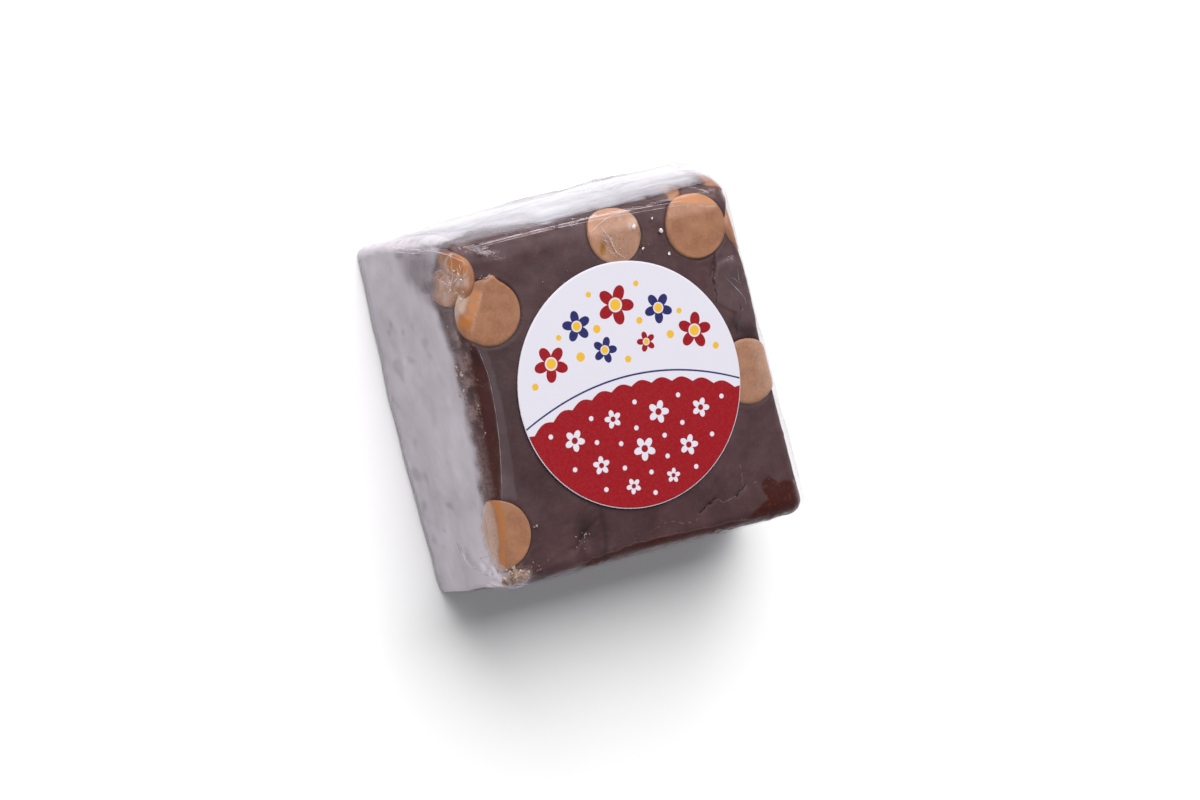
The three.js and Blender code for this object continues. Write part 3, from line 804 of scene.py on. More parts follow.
def lobe_rise(x, y):
    """A raised lobe along the right edge of the top face, with a crease where it starts."""
    edge_x, edge_y = np.array(LOBE_EDGE[::-1]).T
    over = x - np.interp(y, edge_y, edge_x)
    along = smooth(edge_y[0] - 1, edge_y[0] + 2, y) * (1 - smooth(edge_y[-1] - 3, edge_y[-1] + 1, y))
    return along * (0.5 * smooth(-0.3, 0.6, over) - 0.2 * bell(over + 0.2, 0.3))


def top_relief(points):
    """Height of the fudge's top face over its plane: low lumps, the lobe, the dip with its crease and
    fold, the cracks, and an even bed under the sticker."""
    x, y, _ = np.moveaxis(points, -1, 0)
    (dip_x, dip_y), (wide, long) = DIP["middle"], DIP["reach"]
    height = 0.14 * layered(points, 9.0, 3, 1) + 0.035 * layered(points, 1.6, 3, 5) + lobe_rise(x, y)
    height -= DIP["depth"] * bell(x - dip_x, wide) * bell(y - dip_y, long)
    height -= 0.4 * line_bell(x, y, DIP_CREASE, 0.4) * (0.7 + 0.5 * noise(points, 1.2, 3))
    height -= 0.3 * line_bell(x, y, DIP_FOLD, 0.7)
    height -= sum(0.15 * line_bell(x, y, line, 0.4) for line in CRACKS)
    return mix(height, STICKER_BED, 1 - smooth(*STICKER_TENT, from_sticker(x, y)))


def side_relief(points):
    """Height of the cut sides: a knife's long drag marks, soft lumps, and pits where crumbs broke out."""
    drag = noise(points / DRAG_STRETCH, 1.3, 8)
    pits = np.maximum(layered(points, 2.4, 3, 12) - 0.45, 0)
    lumps = 0.18 * layered(points, 9.0, 2, 7) + 0.06 * layered(points, 1.1, 2, 9)
    return lumps + 0.07 * drag - 0.9 * pits


def drop_frame(drop):
    """The middle of a drop's foot, and three directions: two along the foot and the way it faces."""
    out = unit(np.array(drop["faces"], float))
    across = unit(np.cross((0.0, 1.0, 0.0) if abs(out[1]) < 0.7 else (0.0, 0.0, 1.0), out))
    return np.array(drop["at"], float), across, np.cross(out, across), out


def drop_place(points, drop):
    """Height over a drop's foot and distance from its axis, for each point."""
    at, across, up, out = drop_frame(drop)
    away = points - at
    return away @ out, np.hypot(away @ across, away @ up)


def sunk_under_drops(points):
    """The fudge pushed in under each drop's foot, with a low lip of fudge round the foot and a narrow
    groove, except where fudge is smeared over the drop's rim."""
    for name, drop in DROPS.items():
        *_, out = drop_frame(drop)
        height, away = drop_place(points, drop)
        near = smooth(-6, -3, height)
        under = (1 - smooth(0.86, 1.0, away / drop["radius"])) * near
        past_rim = away - drop["radius"]
        lip = 0.04 * bell(past_rim - 0.5, 0.5) * smooth(-2, -0.5, height)
        groove = 0.2 * (name not in SMEARS) * bell(past_rim - 0.02, 0.12) * near
        push = np.maximum(height + 1.2, 0) * under
        points = points + out * (lip - groove - push)[..., None]
    return points


# Lines of painted shade on the fudge, in the dip's fold, a crevice by drop_back_middle and at the feet of
# drop_left and the lobe: the line, its width and how dark it is.
SHADE_LINES = [(DIP_FOLD, 0.5, 0.5), (CREVICE_SHADE, 0.22, 0.8), (LOBE_FOOT, 0.9, 0.7), (DROP_FOOT, 0.7, 0.8)]


def fudge_shade(skin):
    """How much painted shade darkens the fudge: in the dip, along the lines of painted shade, in a shaded
    patch at the left, and in a tight ring round each drop, stronger on the side away from the light."""
    x, y, _ = np.moveaxis(skin, -1, 0)
    # Painted shade in the dip.
    shade = 0.85 * bell(x + 10.9, 1.5) * bell(y + 25.6, 3.4) * smooth(-0.5, 0.3, layered(skin, 1.8, 3, 37))
    for line, width, depth in SHADE_LINES:
        shade = np.maximum(shade, depth * line_bell(x, y, line, width))
    (deep_x, deep_y), (wide, long) = SHADED_PATCH["middle"], SHADED_PATCH["reach"]
    shade = np.maximum(shade, SHADED_PATCH["depth"] * bell(x - deep_x, wide) * bell(y - deep_y, long))
    for name in DROPS.keys() - SMEARS.keys():
        drop = DROPS[name]
        height, away = drop_place(skin, drop)
        lower = smooth(-0.9, 0.9, (drop["at"][1] - y) / drop["radius"])
        ring = bell(away - drop["radius"] - 0.05, 0.25) * smooth(-3, -1, height)
        shade = np.maximum(shade, (0.35 + 0.45 * lower) * ring)
    return shade


def fudge_dust(skin, normal, up):
    """How pale the fudge is: dusty along the rounded left edge, more so at its middle, thick with
    crumbs at the front left corner, and patchy on the sides."""
    x, y, _ = np.moveaxis(skin, -1, 0)
    rounding = smooth(0.5, 0.85, -normal[..., 0]) * smooth(-0.1, 0.2, normal[..., 2])
    dusty = rounding * smooth(-9.0, -1.0, y) * (1 - smooth(14.0, 18.0, y))
    pale = 0.9 * dusty * smooth(-0.5, 0.4, layered(skin, 1.4, 3, 31))
    pale = np.maximum(pale, 0.42 * rounding * (1 - smooth(-9.0, -2.0, y)))
    mass = bell(x + 24.7, 2.4) * bell(y + 29.2, 1.7) * smooth(-0.5, 0.2, layered(skin, 1.3, 3, 35))
    pale = np.maximum(pale, 1.4 * mass)
    pale = np.maximum(pale, 0.35 * (1 - up) * smooth(0.1, 0.8, layered(skin, 3.0, 3, 33)))
    return np.clip(pale, 0, 1)


def add_fudge(material):
    """The block of fudge inside the film, a little within it on the sides."""
    skin, normal = block_skin(*shell_rings())
    up = smooth(0.45, 0.9, normal[..., 2])
    under = smooth(0.3, 0.7, -normal[..., 2])
    relief = mix(side_relief(skin), top_relief(skin), up) * (1 - under)
    points = sunk_under_drops(skin + normal * (relief - 0.12 * (1 - up))[..., None])
    points[..., 2] = np.maximum(points[..., 2], FLOOR_GAP)
    pale = fudge_dust(skin, normal, up)
    shade = fudge_shade(skin) * (1 - 0.7 * pale)
    masks = {"wet": wet_places(skin, normal), "pale": pale, "shade": shade}
    return add_shell("fudge_block", points, material, masks, ["wrapped_fudge"])


def drop_profile(radius):
    """Distance from the axis and height over the foot, from the foot's middle over the rim to the tip."""
    points = [
        (0.02, 0.43), (0.4 * radius, 0.41), (0.8 * radius, 0.36), (radius - 0.5, 0.27),
        (radius - 0.15, 0.02), (radius, -0.45), (radius, -1.1), (0.86 * radius, -2.3),
        (0.55 * radius, -3.8), (0.24 * radius, -5.0), (0.03, -DROP_DEPTH),
    ]
    return smooth_path(points, DROP_RINGS).T


def drop_surface(name):
    """Rings of a drop that is slightly out of round, with a dimple, pits and low lumps on its foot, and
    how much each point belongs to the foot."""
    drop = DROPS[name]
    radius = drop["radius"]
    away, height = drop_profile(radius)
    turn = np.arange(DROP_TURNS) * 2 * math.pi / DROP_TURNS
    at, across, up, out = drop_frame(drop)
    seed = float(sum(map(ord, name)) % 97)
    rim = np.stack([np.cos(turn), np.sin(turn), np.full_like(turn, seed)], -1)
    uneven = 1 + 0.018 * noise(rim, 0.7, 1) + 0.008 * noise(rim, 0.25, 2)
    if name == NUB["drop"]:
        uneven = uneven + NUB["reach"] / radius * bell(turn - NUB["angle"], NUB["width"])
    flat_x = away[:, None] * np.cos(turn) * uneven
    flat_y = away[:, None] * np.sin(turn) * uneven
    spot = np.stack([flat_x, flat_y, np.full_like(flat_x, seed)], -1)
    dimple = 0.10 * bell(np.hypot(flat_x, flat_y - 0.4), 0.7)
    pits = 0.10 * np.maximum(noise(spot, 0.55, 4) - 0.62, 0) / 0.38
    foot = smooth(-0.6, 0.2, height)[:, None]
    lumps = 0.05 * noise(spot, 2.6, 3) + 0.015 * noise(spot, 0.7, 5)
    tall = height[:, None] + foot * (lumps - dimple - pits)
    return at + flat_x[..., None] * across + flat_y[..., None] * up + tall[..., None] * out, foot


def bevelled(drop, points):
    """Points of a drop cut off along its bevel, and where they lie from the bevel's ridge: how far
    beyond it, and how far along it."""
    angle, distance, slope = drop["bevel"]
    angle, slope = math.radians(angle), math.radians(slope)
    outward = np.array([math.cos(angle), math.sin(angle), 0.0])
    ridge = np.array(drop["at"]) + outward * distance + np.array([0, 0, DROP_PROUD])
    plane = outward * math.sin(slope) + np.array([0, 0, math.cos(slope)])
    beyond = (points - ridge) @ outward + 0.12 * noise(points, 1.5, 6)
    over = (points - ridge) @ plane + 0.04 * noise(points, 1.5, 6)
    points = points - np.maximum(over, 0)[..., None] * plane
    along = (points - ridge) @ np.array([math.sin(angle), -math.cos(angle), 0.0])
    return points, beyond, along


def add_drop(name, material):
    """A drop: its surface, cut along its bevel or dented, with the marks of its own finish, and pressed
    inside the block's skin."""
    drop = DROPS[name]
    points, foot = drop_surface(name)
    cut, dent, milky, smear = (np.zeros(points.shape[:-1]) for _ in range(4))
    x, y, _ = np.moveaxis(points, -1, 0)
    patchy = layered(points, 1.6, 2, 8)
    if "bevel" in drop:
        points, beyond, along = bevelled(drop, points)
        cut = smooth(-0.1, 0.25, beyond)
    if name == "drop_left":
        along = along + 0.5 * patchy
        part = smooth(-4.6, -3.8, along) * (1 - smooth(2.2, 3.2, along))
        cut = cut * (1 - smooth(1.5, 2.4, beyond + 0.8 * patchy)) * part
        cut = cut * mix(1.0, 0.3, smooth(-0.1, 0.5, patchy))
        # On drop_left the milky mask is painted highlight: a pale band at the rim beyond the bevel and a thin
        # line on its ridge.
        milky = (smooth(1.9, 2.9, beyond + 0.5 * patchy) + 0.5 * bell(beyond, 0.16)) * part
    elif name == "drop_front_left":
        ridge_x, ridge_y = np.array(RIDGE[::-1]).T
        cut = bell(line_distance(x, y, RIDGE) ** 2, 0.75 ** 2) * mix(1, 0.55, smooth(-0.2, 0.5, patchy))
        milky = 0.65 * smooth(0.5, 2.2, np.interp(y, ridge_y, ridge_x) - x + 0.3 * patchy)
    elif name == "drop_back_right":
        # On drop_back_right the milky mask is a painted highlight: a thin line along the bevel's ridge.
        milky = 0.6 * bell(beyond + 0.35, 0.14) * smooth(-0.2, 0.2, patchy)
    elif name == "drop_right":
        cut = 0.35 * cut
        milky = 0.12 + 0.35 * smooth(1.0, 3.5, points[..., 0] - drop["at"][0] + patchy)
    elif name == "drop_back_middle":
        dent = bell(x - 2.4, 0.75) * bell(y - 21.4 - 0.9 * (x - 2.4), 1.7) * foot
        points[..., 2] -= 0.4 * dent
        dent = smooth(0.35, 0.8, dent + 0.25 * patchy)
        cut = 0.45 * smooth(24.4, 26.0, y + 0.8 * patchy) + 0.5 * (1 - smooth(1.6, 2.6, x + 0.5 * patchy))
        milky = 0.3 + 0.6 * smooth(0.1, 0.6, patchy) * smooth(22.0, 25.0, y)
    elif name == "drop_back_left":
        facet = np.hypot((x + 23.9) / 1.25, (y - 24.3) / 1.9)
        cut = (1 - smooth(0.85, 1.0, facet)) * foot
        rubbed = 0.8 * smooth(-0.4, 0.4, patchy) * smooth(1.1, 1.6, facet)
        milky = (0.9 * bell(facet - 1.05, 0.1) + rubbed) * foot
    if name in SMEARS:
        smear = smooth(-SMEARS[name][2], SMEARS[name][2], past_smear(name, x, y) + 0.5 * patchy)
    points = pressed_inside(points, DROP_PROUD)
    masks = {"cut": np.clip(cut, 0, 1), "dent": dent, "milky": np.clip(milky, 0, 1), "smear": smear}
    masks = {mask: values[:, ::-1] for mask, values in masks.items()}
    return add_shell(f"{name}_fine", points[:, ::-1], material, masks, [name])


def past_smear(name, x, y):
    """Distance past the edge of the fudge that is smeared over a drop's rim."""
    (from_x, from_y), (over_x, over_y), _ = SMEARS[name]
    return (x - from_x) * over_x + (y - from_y) * over_y


def add_sticker(material):
    """The sticker: a thin disc whose face waves very slightly, with a crisp rim."""
    inner = np.linspace(0.02, 1, 60) * (STICKER_RADIUS - 0.03)
    under = STICKER_UNDER + 0.02
    profile = [(r, STICKER_OVER - 0.03) for r in inner]
    profile += [(STICKER_RADIUS, STICKER_OVER - 0.06), (STICKER_RADIUS, under + 0.02)]
    profile += [(r, under) for r in inner[::-6]]
    away, height = np.array(profile).T
    turn = np.arange(STICKER_TURNS) * 2 * math.pi / STICKER_TURNS
    x = STICKER_MIDDLE[0] + away[:, None] * np.cos(turn)
    y = STICKER_MIDDLE[1] + away[:, None] * np.sin(turn)
    wave = 0.025 * layered(np.stack([x, y, 0 * x], -1), 11.0, 2, 41)
    points = np.stack([x, y, height[:, None] + wave], -1)[:, ::-1]
    return add_shell("sticker_printed", points, material, nodes=["sticker"])


def film_standoff(skin, normal):
    """How far the film stands off the block's skin: tight on the top face and over the feet of the
    drops, sharp along the back edge, a little loose on the left, and bridging along the right edge."""
    x, y, z = np.moveaxis(skin, -1, 0)
    up = smooth(0.45, 0.9, normal[..., 2])
    side = 0.22 + 0.18 * layered(skin, 9.0, 2, 7)
    top = 0.2 + 0.14 * layered(skin, 9.0, 2, 1) + np.maximum(lobe_rise(x, y), 0)
    top = mix(top, STICKER_BED + 0.16, 1 - smooth(*STICKER_TENT, from_sticker(x, y)))
    rise = mix(side, top, up)
    for drop in DROPS.values():
        height, away = drop_place(skin, drop)
        lift = np.clip(0.56 - height, 0, 0.62) * smooth(-4.5, -2.5, height)
        alike = smooth(0.1, 0.6, normal @ drop_frame(drop)[3])
        rise = np.maximum(rise, lift * alike * (1 - smooth(0.0, 7.0, away - drop["radius"])))
    nx, ny, nz = np.moveaxis(normal, -1, 0)
    corner = np.clip(1 / np.maximum(np.maximum(nz, ny), 0.7) - 1, 0, 0.42)
    corner = corner * (1 - smooth(0.2, 0.5, np.abs(nx))) * smooth(0.05, 0.3, ny) * smooth(0.0, 0.2, nz)
    rise += 0.8 * TOP_EDGE_RADIUS * corner
    rise += smooth(0.5, 0.9, -nx) * (0.22 + 0.14 * noise(skin / LEFT_STRETCH, 3.2, 14))
    bridge = smooth(-33, -29, y) * (1 - smooth(-16, -9, y)) * smooth(9, 20, z)
    rise += 0.55 * smooth(0.3, 0.9, nx) * bridge
    return mix(rise, 0.10 + 0.04 * noise(skin, 3.0, 15), smooth(0.5, 0.9, -ny))


def film_haze(skin, normal):
    """How cloudy the film looks to the camera: clear on the top face, greyer over the flap along its
    left side, milky on the left side except where the film touches the fudge, and white on the back."""
    x, y, z = np.moveaxis(skin, -1, 0)
    blotch = layered(skin, 6.0, 3, 51)
    haze = 0.008 + 0.006 * np.clip(blotch, -1, 1)
    haze = haze + 0.024 * between(x, y, FLAP_LEFT, FLAP_RIGHT, 0.08) * smooth(0.6, 0.9, normal[..., 2])
    haze = haze + 0.022 * smooth(0.2, 0.45, lobe_rise(x, y))
    left = smooth(0.6, 0.85, -normal[..., 0])
    haze = mix(haze, left_side_haze(skin, blotch), left * left_side_reach(skin))
    edge_x, edge_y = np.array(BACK_HAZE_EDGE).T
    beyond = y - np.interp(x, edge_x, edge_y) + 0.5 * layered(skin, 3.0, 3, 53)
    mauve = 0.18 * smooth(26.9, 27.5, y) * (1 - smooth(-8, 4, x))
    back_haze = mauve + mix(0.55, 0.12, smooth(25.0, 28.0, x)) * smooth(-0.5, 0.5, beyond)
    haze = np.where(y > BACK_EDGE_AT, np.maximum(haze, back_haze), haze)
    haze = mix(haze, mix(0.10, 0.01, smooth(8, 20, z)), smooth(0.75, 1.0, -normal[..., 1]))
    haze = mix(haze, 0.05, smooth(0.6, 0.95, normal[..., 0]))
    gather = 1 - smooth(-0.9, 0.2, patch_distance(x, y, FRONT_GATHER) + 0.7 * layered(skin, 1.5, 2, 61))
    haze = np.maximum(haze, 0.34 * gather * smooth(0.0, 0.4, normal[..., 2]))
    strand = line_bell(x, y, CORNER_STRANDS, 0.8) * smooth(14, 19, z)
    return np.maximum(haze, 0.85 * strand * smooth(-0.7, 0.4, layered(skin, 1.0, 3, 63)))


def left_side_haze(skin, blotch):
    """How cloudy the film is on the left side: even and milky with small clearer spots, clearer where it
    touches the fudge near the back, and clear at the foot."""
    _, y, z = np.moveaxis(skin, -1, 0)
    touch = bell(y - 24.3, 4.2) * bell(z - 17.5 + 0.5 * (y - 24.3), 6.5)
    touch = smooth(0.12, 0.85, touch + 0.25 * blotch)
    spots = 0.14 * smooth(0.5, 0.9, layered(skin, 3.2, 2, 59)) - 0.04 * layered(skin, 1.8, 3, 57)
    return np.clip(0.555 + 0.05 * blotch - 0.30 * touch - spots, 0.05, 1) * smooth(0.5, 2.0, z)


def left_side_reach(skin):
    """1 on the left side below the clear part's edge, and less over the bare part of the drop there."""
    x, y, z = np.moveaxis(skin, -1, 0)
    edge_y, edge_z = np.array(LEFT_HAZE_EDGE).T
    below = np.interp(y, edge_y, edge_z) - z + 0.5 * layered(skin, 2.0, 3, 55)
    drop = DROPS["drop_back_left"]
    height, away = drop_place(skin, drop)
    bare = 1 - smooth(-1.0, 0.8, past_smear("drop_back_left", x, y))
    on_drop = (1 - smooth(-0.5, 1.0, away - drop["radius"])) * smooth(-3, -1, height)
    return smooth(-1.0, 1.2, below) * (1 - 0.8 * on_drop * bare)


def seen_face_on(haze, points):
    """Haze of a film as seen square to it, from the haze that the camera sees on a grid of its points.
    A slanting sight passes through more film and so sees more haze."""
    square = unit(np.cross(np.gradient(points, axis=1), np.gradient(points, axis=0)))
    slant = np.abs(np.sum(square * unit(np.array(CAMERA_AT) - points), axis=-1))
    return 1 - (1 - np.clip(haze, 0, MOST_HAZE)) ** (LEAST_SLANT + slant)


def wet_places(skin, normal):
    """How moist the fudge is, and how closely the film clings there."""
    x, y, _ = np.moveaxis(skin, -1, 0)
    up = smooth(0.45, 0.9, normal[..., 2])
    wobble = 0.5 * layered(skin, 2.5, 3, 21)
    front_x, front_y = np.array(WET_FRONT).T
    wet = 1 - smooth(-0.25, 0.05, patch_distance(x, y, WET_CORNER) + 0.35 * wobble)
    front = 1 - smooth(-0.15, 0.05, y - np.interp(x, front_x, front_y) + 0.3 * wobble)
    wet = np.maximum(wet, 0.5 * front * smooth(-22, -20, x) * smooth(-0.2, 0.1, normal[..., 2]))
    wet = np.maximum(wet, between(x + 0.3 * wobble, y, WET_LEFT_OUTER, FLAP_LEFT, 0.2) * up)
    band = smooth(26.2, 26.7, y + 0.4 * wobble) * smooth(-22, -20, x) * (1 - smooth(27, 29, x))
    return np.maximum(wet, 0.8 * band * smooth(0.1, 0.5, normal[..., 2]))


def add_film(material):
    """The film round the block, one closed skin."""
    skin, normal = block_skin(*shell_rings(600, 48, 44))
    points = skin + normal * film_standoff(skin, normal)[..., None]
    points[..., 2] = np.maximum(points[..., 2], 0.0)
    gathered = mix(0.05, 0.6, smooth(0.5, 0.9, normal[..., 1]))
    cling = np.maximum(0.5 * wet_places(skin, normal), smooth(0.2, 0.7, -normal[..., 1]))
    masks = {"haze": seen_face_on(film_haze(skin, normal), points), "cling": cling, "gathered": gathered}
    return add_shell("film_wrap", points, material, masks, ["wrapped_fudge"])


def fold_points(v, s, t):
    """Skin points of the back (v 1) or the front (v 0) at s along X and t up it, each from 0 to 1."""
    low, high = (0.05, 0.97) if v else (0.07, 0.93)
    u = mix(low, high, s)
    w = mix(0.04, 0.93, t) if v else mix(0.05, 0.84, t)
    return block_skin(u, np.full_like(u, float(v)), w)[0]


def pillow(inner, outer):
    """Closed faces round two grids of points: the inner one against the block and the outer one."""
    columns, rows = inner.shape[:2]
    index = np.arange(columns * rows).reshape(columns, rows)
    quad = np.stack([index[:-1, :-1], index[1:, :-1], index[1:, 1:], index[:-1, 1:]], -1).reshape(-1, 4)
    count = columns * rows
    rim = np.concatenate([index[:, 0], index[-1, 1:], index[-2::-1, -1], index[0, -2:0:-1]])
    ahead = np.roll(rim, -1)
    wall = np.stack([rim, rim + count, ahead + count, ahead], -1)
    points = np.concatenate([inner.reshape(-1, 3), outer.reshape(-1, 3)])
    return points, np.concatenate([quad[:, ::-1], quad + count]), wall[:, ::-1]


def add_back_fold(material):
    """The loose end of the film at the back: it leaves the top edge at a crease, swells out in long
    slanting pleats, and comes back to the block near the base."""
    s, t = np.meshgrid(np.linspace(0, 1, 261), np.linspace(0, 1, 61), indexing="ij")
    skin = fold_points(1, s, t)
    full = np.where(s < 0.5, np.sin(np.pi * np.clip(s, 0.01, 0.5)) ** 1.1, mix(1, 0.5, smooth(0.5, 1, s)))
    swell = full * np.sin(np.pi * (0.10 + 0.86 * t)) ** 0.8
    flat = np.stack([s * 6 + 0.6 * t, t * 3, 0 * s], -1)
    pleats = 0.22 * np.sin(2 * np.pi * (3.2 * t + 1.1 * s + 0.5 * noise(flat, 1.6, 71))) * swell
    crumple = 0.16 * layered(np.stack([s * 26, t * 9, 0 * s], -1), 1.5, 3, 73) * swell
    drops = 0.45 * smooth(0.60, 0.72, s)
    outer = skin.copy()
    inner = skin.copy()
    inner[..., 1] += 0.45 + drops
    outer[..., 1] += 0.62 + drops + 1.35 * swell + pleats + crumple
    points, sheets, wall = pillow(inner, outer)
    edge_fade = mix(0.15, 1, smooth(0.0, 0.12, s)) * smooth(0.0, 0.03, 1 - s)
    top_fade = 1 - smooth(0.93, 1.0, t + 0.04 * noise(flat, 0.7, 75))
    corner_fade = 1 - 0.75 * smooth(0.90, 0.97, s) * smooth(0.5, 0.8, t)
    cloudy = 0.28 + 0.28 * smooth(-0.6, 0.6, layered(flat, 0.9, 3, 77))
    haze = seen_face_on(cloudy * edge_fade * mix(0.2, 1, top_fade) * corner_fade, outer)
    masks = {"haze": np.concatenate([0.5 * haze.ravel(), haze.ravel()]), "gathered": np.ones(len(points))}
    faces = facing_out(points, np.concatenate([sheets, wall]))
    return add_piece("film_back_pleats", points, faces, material, masks, ["film_fold_back"])


def add_front_fold(material):
    """The front end of the film: two tucked triangles under one flap, pressed flat."""
    s, t = np.meshgrid(np.linspace(0, 1, 201), np.linspace(0, 1, 51), indexing="ij")
    skin = fold_points(0, s, t)
    tuck = smooth(0, 0.03, np.abs(2 * s - 1) - 1 + 0.75 * t)
    flat = np.stack([s * 8, t * 4, 0 * s], -1)
    outer, inner = skin.copy(), skin.copy()
    inner[..., 1] -= 0.16
    outer[..., 1] -= 0.24 + 0.14 * tuck + 0.03 * layered(flat, 1.0, 3, 81)
    points, sheets, wall = pillow(inner, outer)
    haze = (0.12 + 0.10 * tuck + 0.05 * layered(flat, 0.8, 2, 83)) * (1 - 0.95 * smooth(0.35, 0.75, t))
    haze = seen_face_on(haze, outer)
    masks = {"haze": np.concatenate([0.5 * haze.ravel(), haze.ravel()]), "cling": np.ones(len(points))}
    faces = facing_out(points, np.concatenate([sheets, wall]))
    return add_piece("film_front_flap", points, faces, material, masks, ["film_fold_front"])


def facing_out(points, faces):
    """The faces, all turned over if the volume that they enclose comes out negative."""
    a, b, c, d = (points[faces[:, k]] for k in range(4))
    volume = np.einsum("ij,ij->i", a, np.cross(b, c)).sum() + np.einsum("ij,ij->i", a, np.cross(c, d)).sum()
    return (faces if volume > 0 else faces[:, ::-1]).tolist()


def thread(path, width, height, steps):
    """A thin raised crease: an ellipse carried along a path over the top face, thinner
    at both ends. Gives rings of points."""
    line = smooth_path(path, steps)
    along = unit(np.gradient(line, axis=0))
    over = np.array([0.0, 0.0, 1.0])
    across = unit(np.cross(along, over))
    over = np.cross(across, along)
    size = np.sin(np.pi * np.linspace(0.02, 0.98, steps)) ** 0.35
    size = size * np.clip(1 + 0.9 * noise(line, 0.9, 91), 0.15, 2)
    turn = (np.arange(THREAD_TURNS) * 2 * math.pi / THREAD_TURNS)[None, :, None]
    ring = np.cos(turn) * across[:, None] * width + np.sin(turn) * over[:, None] * height
    return line[:, None] + ring * size[:, None, None]


@functools.cache
def film_over_top():
    """Points of the film over the upper half of the block."""
    skin, normal = block_skin(*shell_rings(240, 24, 40))
    points = (skin + normal * film_standoff(skin, normal)[..., None]).reshape(-1, 3)
    return points[points[:, 2] > HEIGHT * 0.5]


def film_height(x, y):
    """Height of the film over a place on the top face or its rim, by the film's nearest point."""
    points = film_over_top()
    nearest = np.argmin((points[:, :1] - x) ** 2 + (points[:, 1:2] - y) ** 2, axis=0)
    return points[nearest, 2]


def add_creases(material):
    """Thin bright creases in the film, white threads that are partly cloudy film and partly painted
    highlights along its wrinkles: a long one along the back edge, short ones at the corners, and loose
    bundles of fine ones where the film is gathered at the left corners and over two drops."""
    draw = np.random.default_rng(17)
    lines = list(CREASES)
    for middle, spread, count, width in GATHERS:
        start, end = np.array(middle[0]), np.array(middle[-1])
        for _ in range(count):
            shift = draw.normal(0, spread, (3, 2))
            first, last = np.sort(draw.uniform(0, 1, 2))
            last = max(last, first + SHORTEST_CREASE)
            a, b = mix(start, end, first) + shift[0], mix(start, end, last) + shift[0] + 0.5 * shift[1]
            bend_at = mix(a, b, draw.uniform(0.3, 0.7)) + 0.35 * shift[2]
            thin = width * draw.uniform(0.4, 1.0)
            lines.append(([tuple(a), tuple(bend_at), tuple(b)], thin, thin, 24))
    points, faces, count = [], [], 0
    for path, width, height, steps in lines:
        x, y = smooth_path(path, 24).T
        z = film_height(x, y) + 0.02
        rings = thread(np.stack([x, y, z], -1), width, height, steps)
        faces += [[corner + count for corner in face] for face in closed_faces(*rings.shape[:2])]
        points.append(with_poles(rings))
        count += len(points[-1])
    points = np.concatenate(points)
    masks = {"haze": np.full(len(points), CREASE_HAZE_AND_HIGHLIGHT)}
    return add_piece("film_creases", points, faces, material, masks)


# Single creases: path, half width, half height and number of rings. The first two are the double
# painted highlight along the wrinkle at the back edge.
CREASES = [
    (BACK_CREASE, 0.055, 0.07, 260),
    ([(x, y - 0.5 - 0.01 * x) for x, y in BACK_CREASE], 0.03, 0.03, 200),
    (FLAP_LEFT, 0.016, 0.016, 120),
    ([(-30.4, 29.3), (-27.8, 28.0), (-25.2, 26.2), (-23.4, 24.6)], 0.07, 0.09, 70),
    ([(0.6, 24.9), (3.0, 26.2), (5.6, 27.0), (9.4, 27.1)], 0.05, 0.05, 60),
    ([(2.6, 25.6), (3.9, 23.2), (4.6, 20.8), (6.0, 19.4)], 0.04, 0.04, 60),
    ([(21.3, 29.4), (22.8, 28.4), (24.4, 27.2)], 0.05, 0.05, 50),
]

# Where the film is gathered: two ends of the bundle's middle, spread, number and width of creases.
GATHERS = [
    ([(-29.5, -22.0), (-27.2, -30.5)], 0.30, 16, 0.04),
    ([(-27.2, -30.2), (-22.4, -30.9)], 0.45, 12, 0.04),
    ([(-31.5, 29.6), (-24.5, 27.6)], 0.7, 18, 0.045),
    ([(-25.8, 19.0), (-24.4, 26.0)], 0.7, 12, 0.04),
    ([(-21.4, 26.2), (-18.2, 25.7)], 0.35, 16, 0.04),
    ([(-20.9, 21.5), (-19.2, 21.6)], 0.2, 6, 0.04),
    ([(-3.4, 26.8), (-0.6, 27.2)], 0.3, 8, 0.04),
    ([(26.0, 14.0), (29.4, 6.0)], 1.2, 4, 0.02),
    ([(1.9, 24.7), (5.1, 19.6)], 0.45, 8, 0.03),
]


CRUMB_CORNERS = unit(np.array(list(itertools.product((-1, 1), repeat=3)) + [
    (1.5, 0, 0), (-1.5, 0, 0), (0, 1.5, 0), (0, -1.5, 0), (0, 0, 1.5), (0, 0, -1.5)], float))


def add_crumbs(name, spots, material, seed):
    """Small lumps, each a hull of fourteen corners pulled in and out at random, joined as one mesh.
    spots are rows of middle X, Y, Z and radius."""
    draw = np.random.default_rng(seed)
    triangles = []
    for axis, sign in itertools.product(range(3), (-1, 1)):
        tip = 8 + 2 * axis + (sign < 0)
        ring = [i for i, corner in enumerate(itertools.product((-1, 1), repeat=3)) if corner[axis] == sign]
        order = sorted(ring, key=lambda i: math.atan2(*np.delete(CRUMB_CORNERS[i], axis)))
        for a, b in zip(order, order[1:] + order[:1]):
            p, q, r = CRUMB_CORNERS[tip], CRUMB_CORNERS[a], CRUMB_CORNERS[b]
            triangles.append([tip, a, b] if np.dot(np.cross(q - p, r - p), p) > 0 else [tip, b, a])
    spots = np.asarray(spots, float)
    shape = draw.uniform(0.65, 1.3, (len(spots), 14, 1)) * draw.uniform(0.7, 1.3, (len(spots), 1, 3))
    points = spots[:, None, :3] + CRUMB_CORNERS * shape * spots[:, None, 3:4] * np.array([1.0, 1.0, 0.5])
    faces = (np.array(triangles)[None] + 14 * np.arange(len(spots))[:, None, None]).reshape(-1, 3)
    return add_piece(name, points.reshape(-1, 3), faces.tolist(), material, smooth_faces=False)


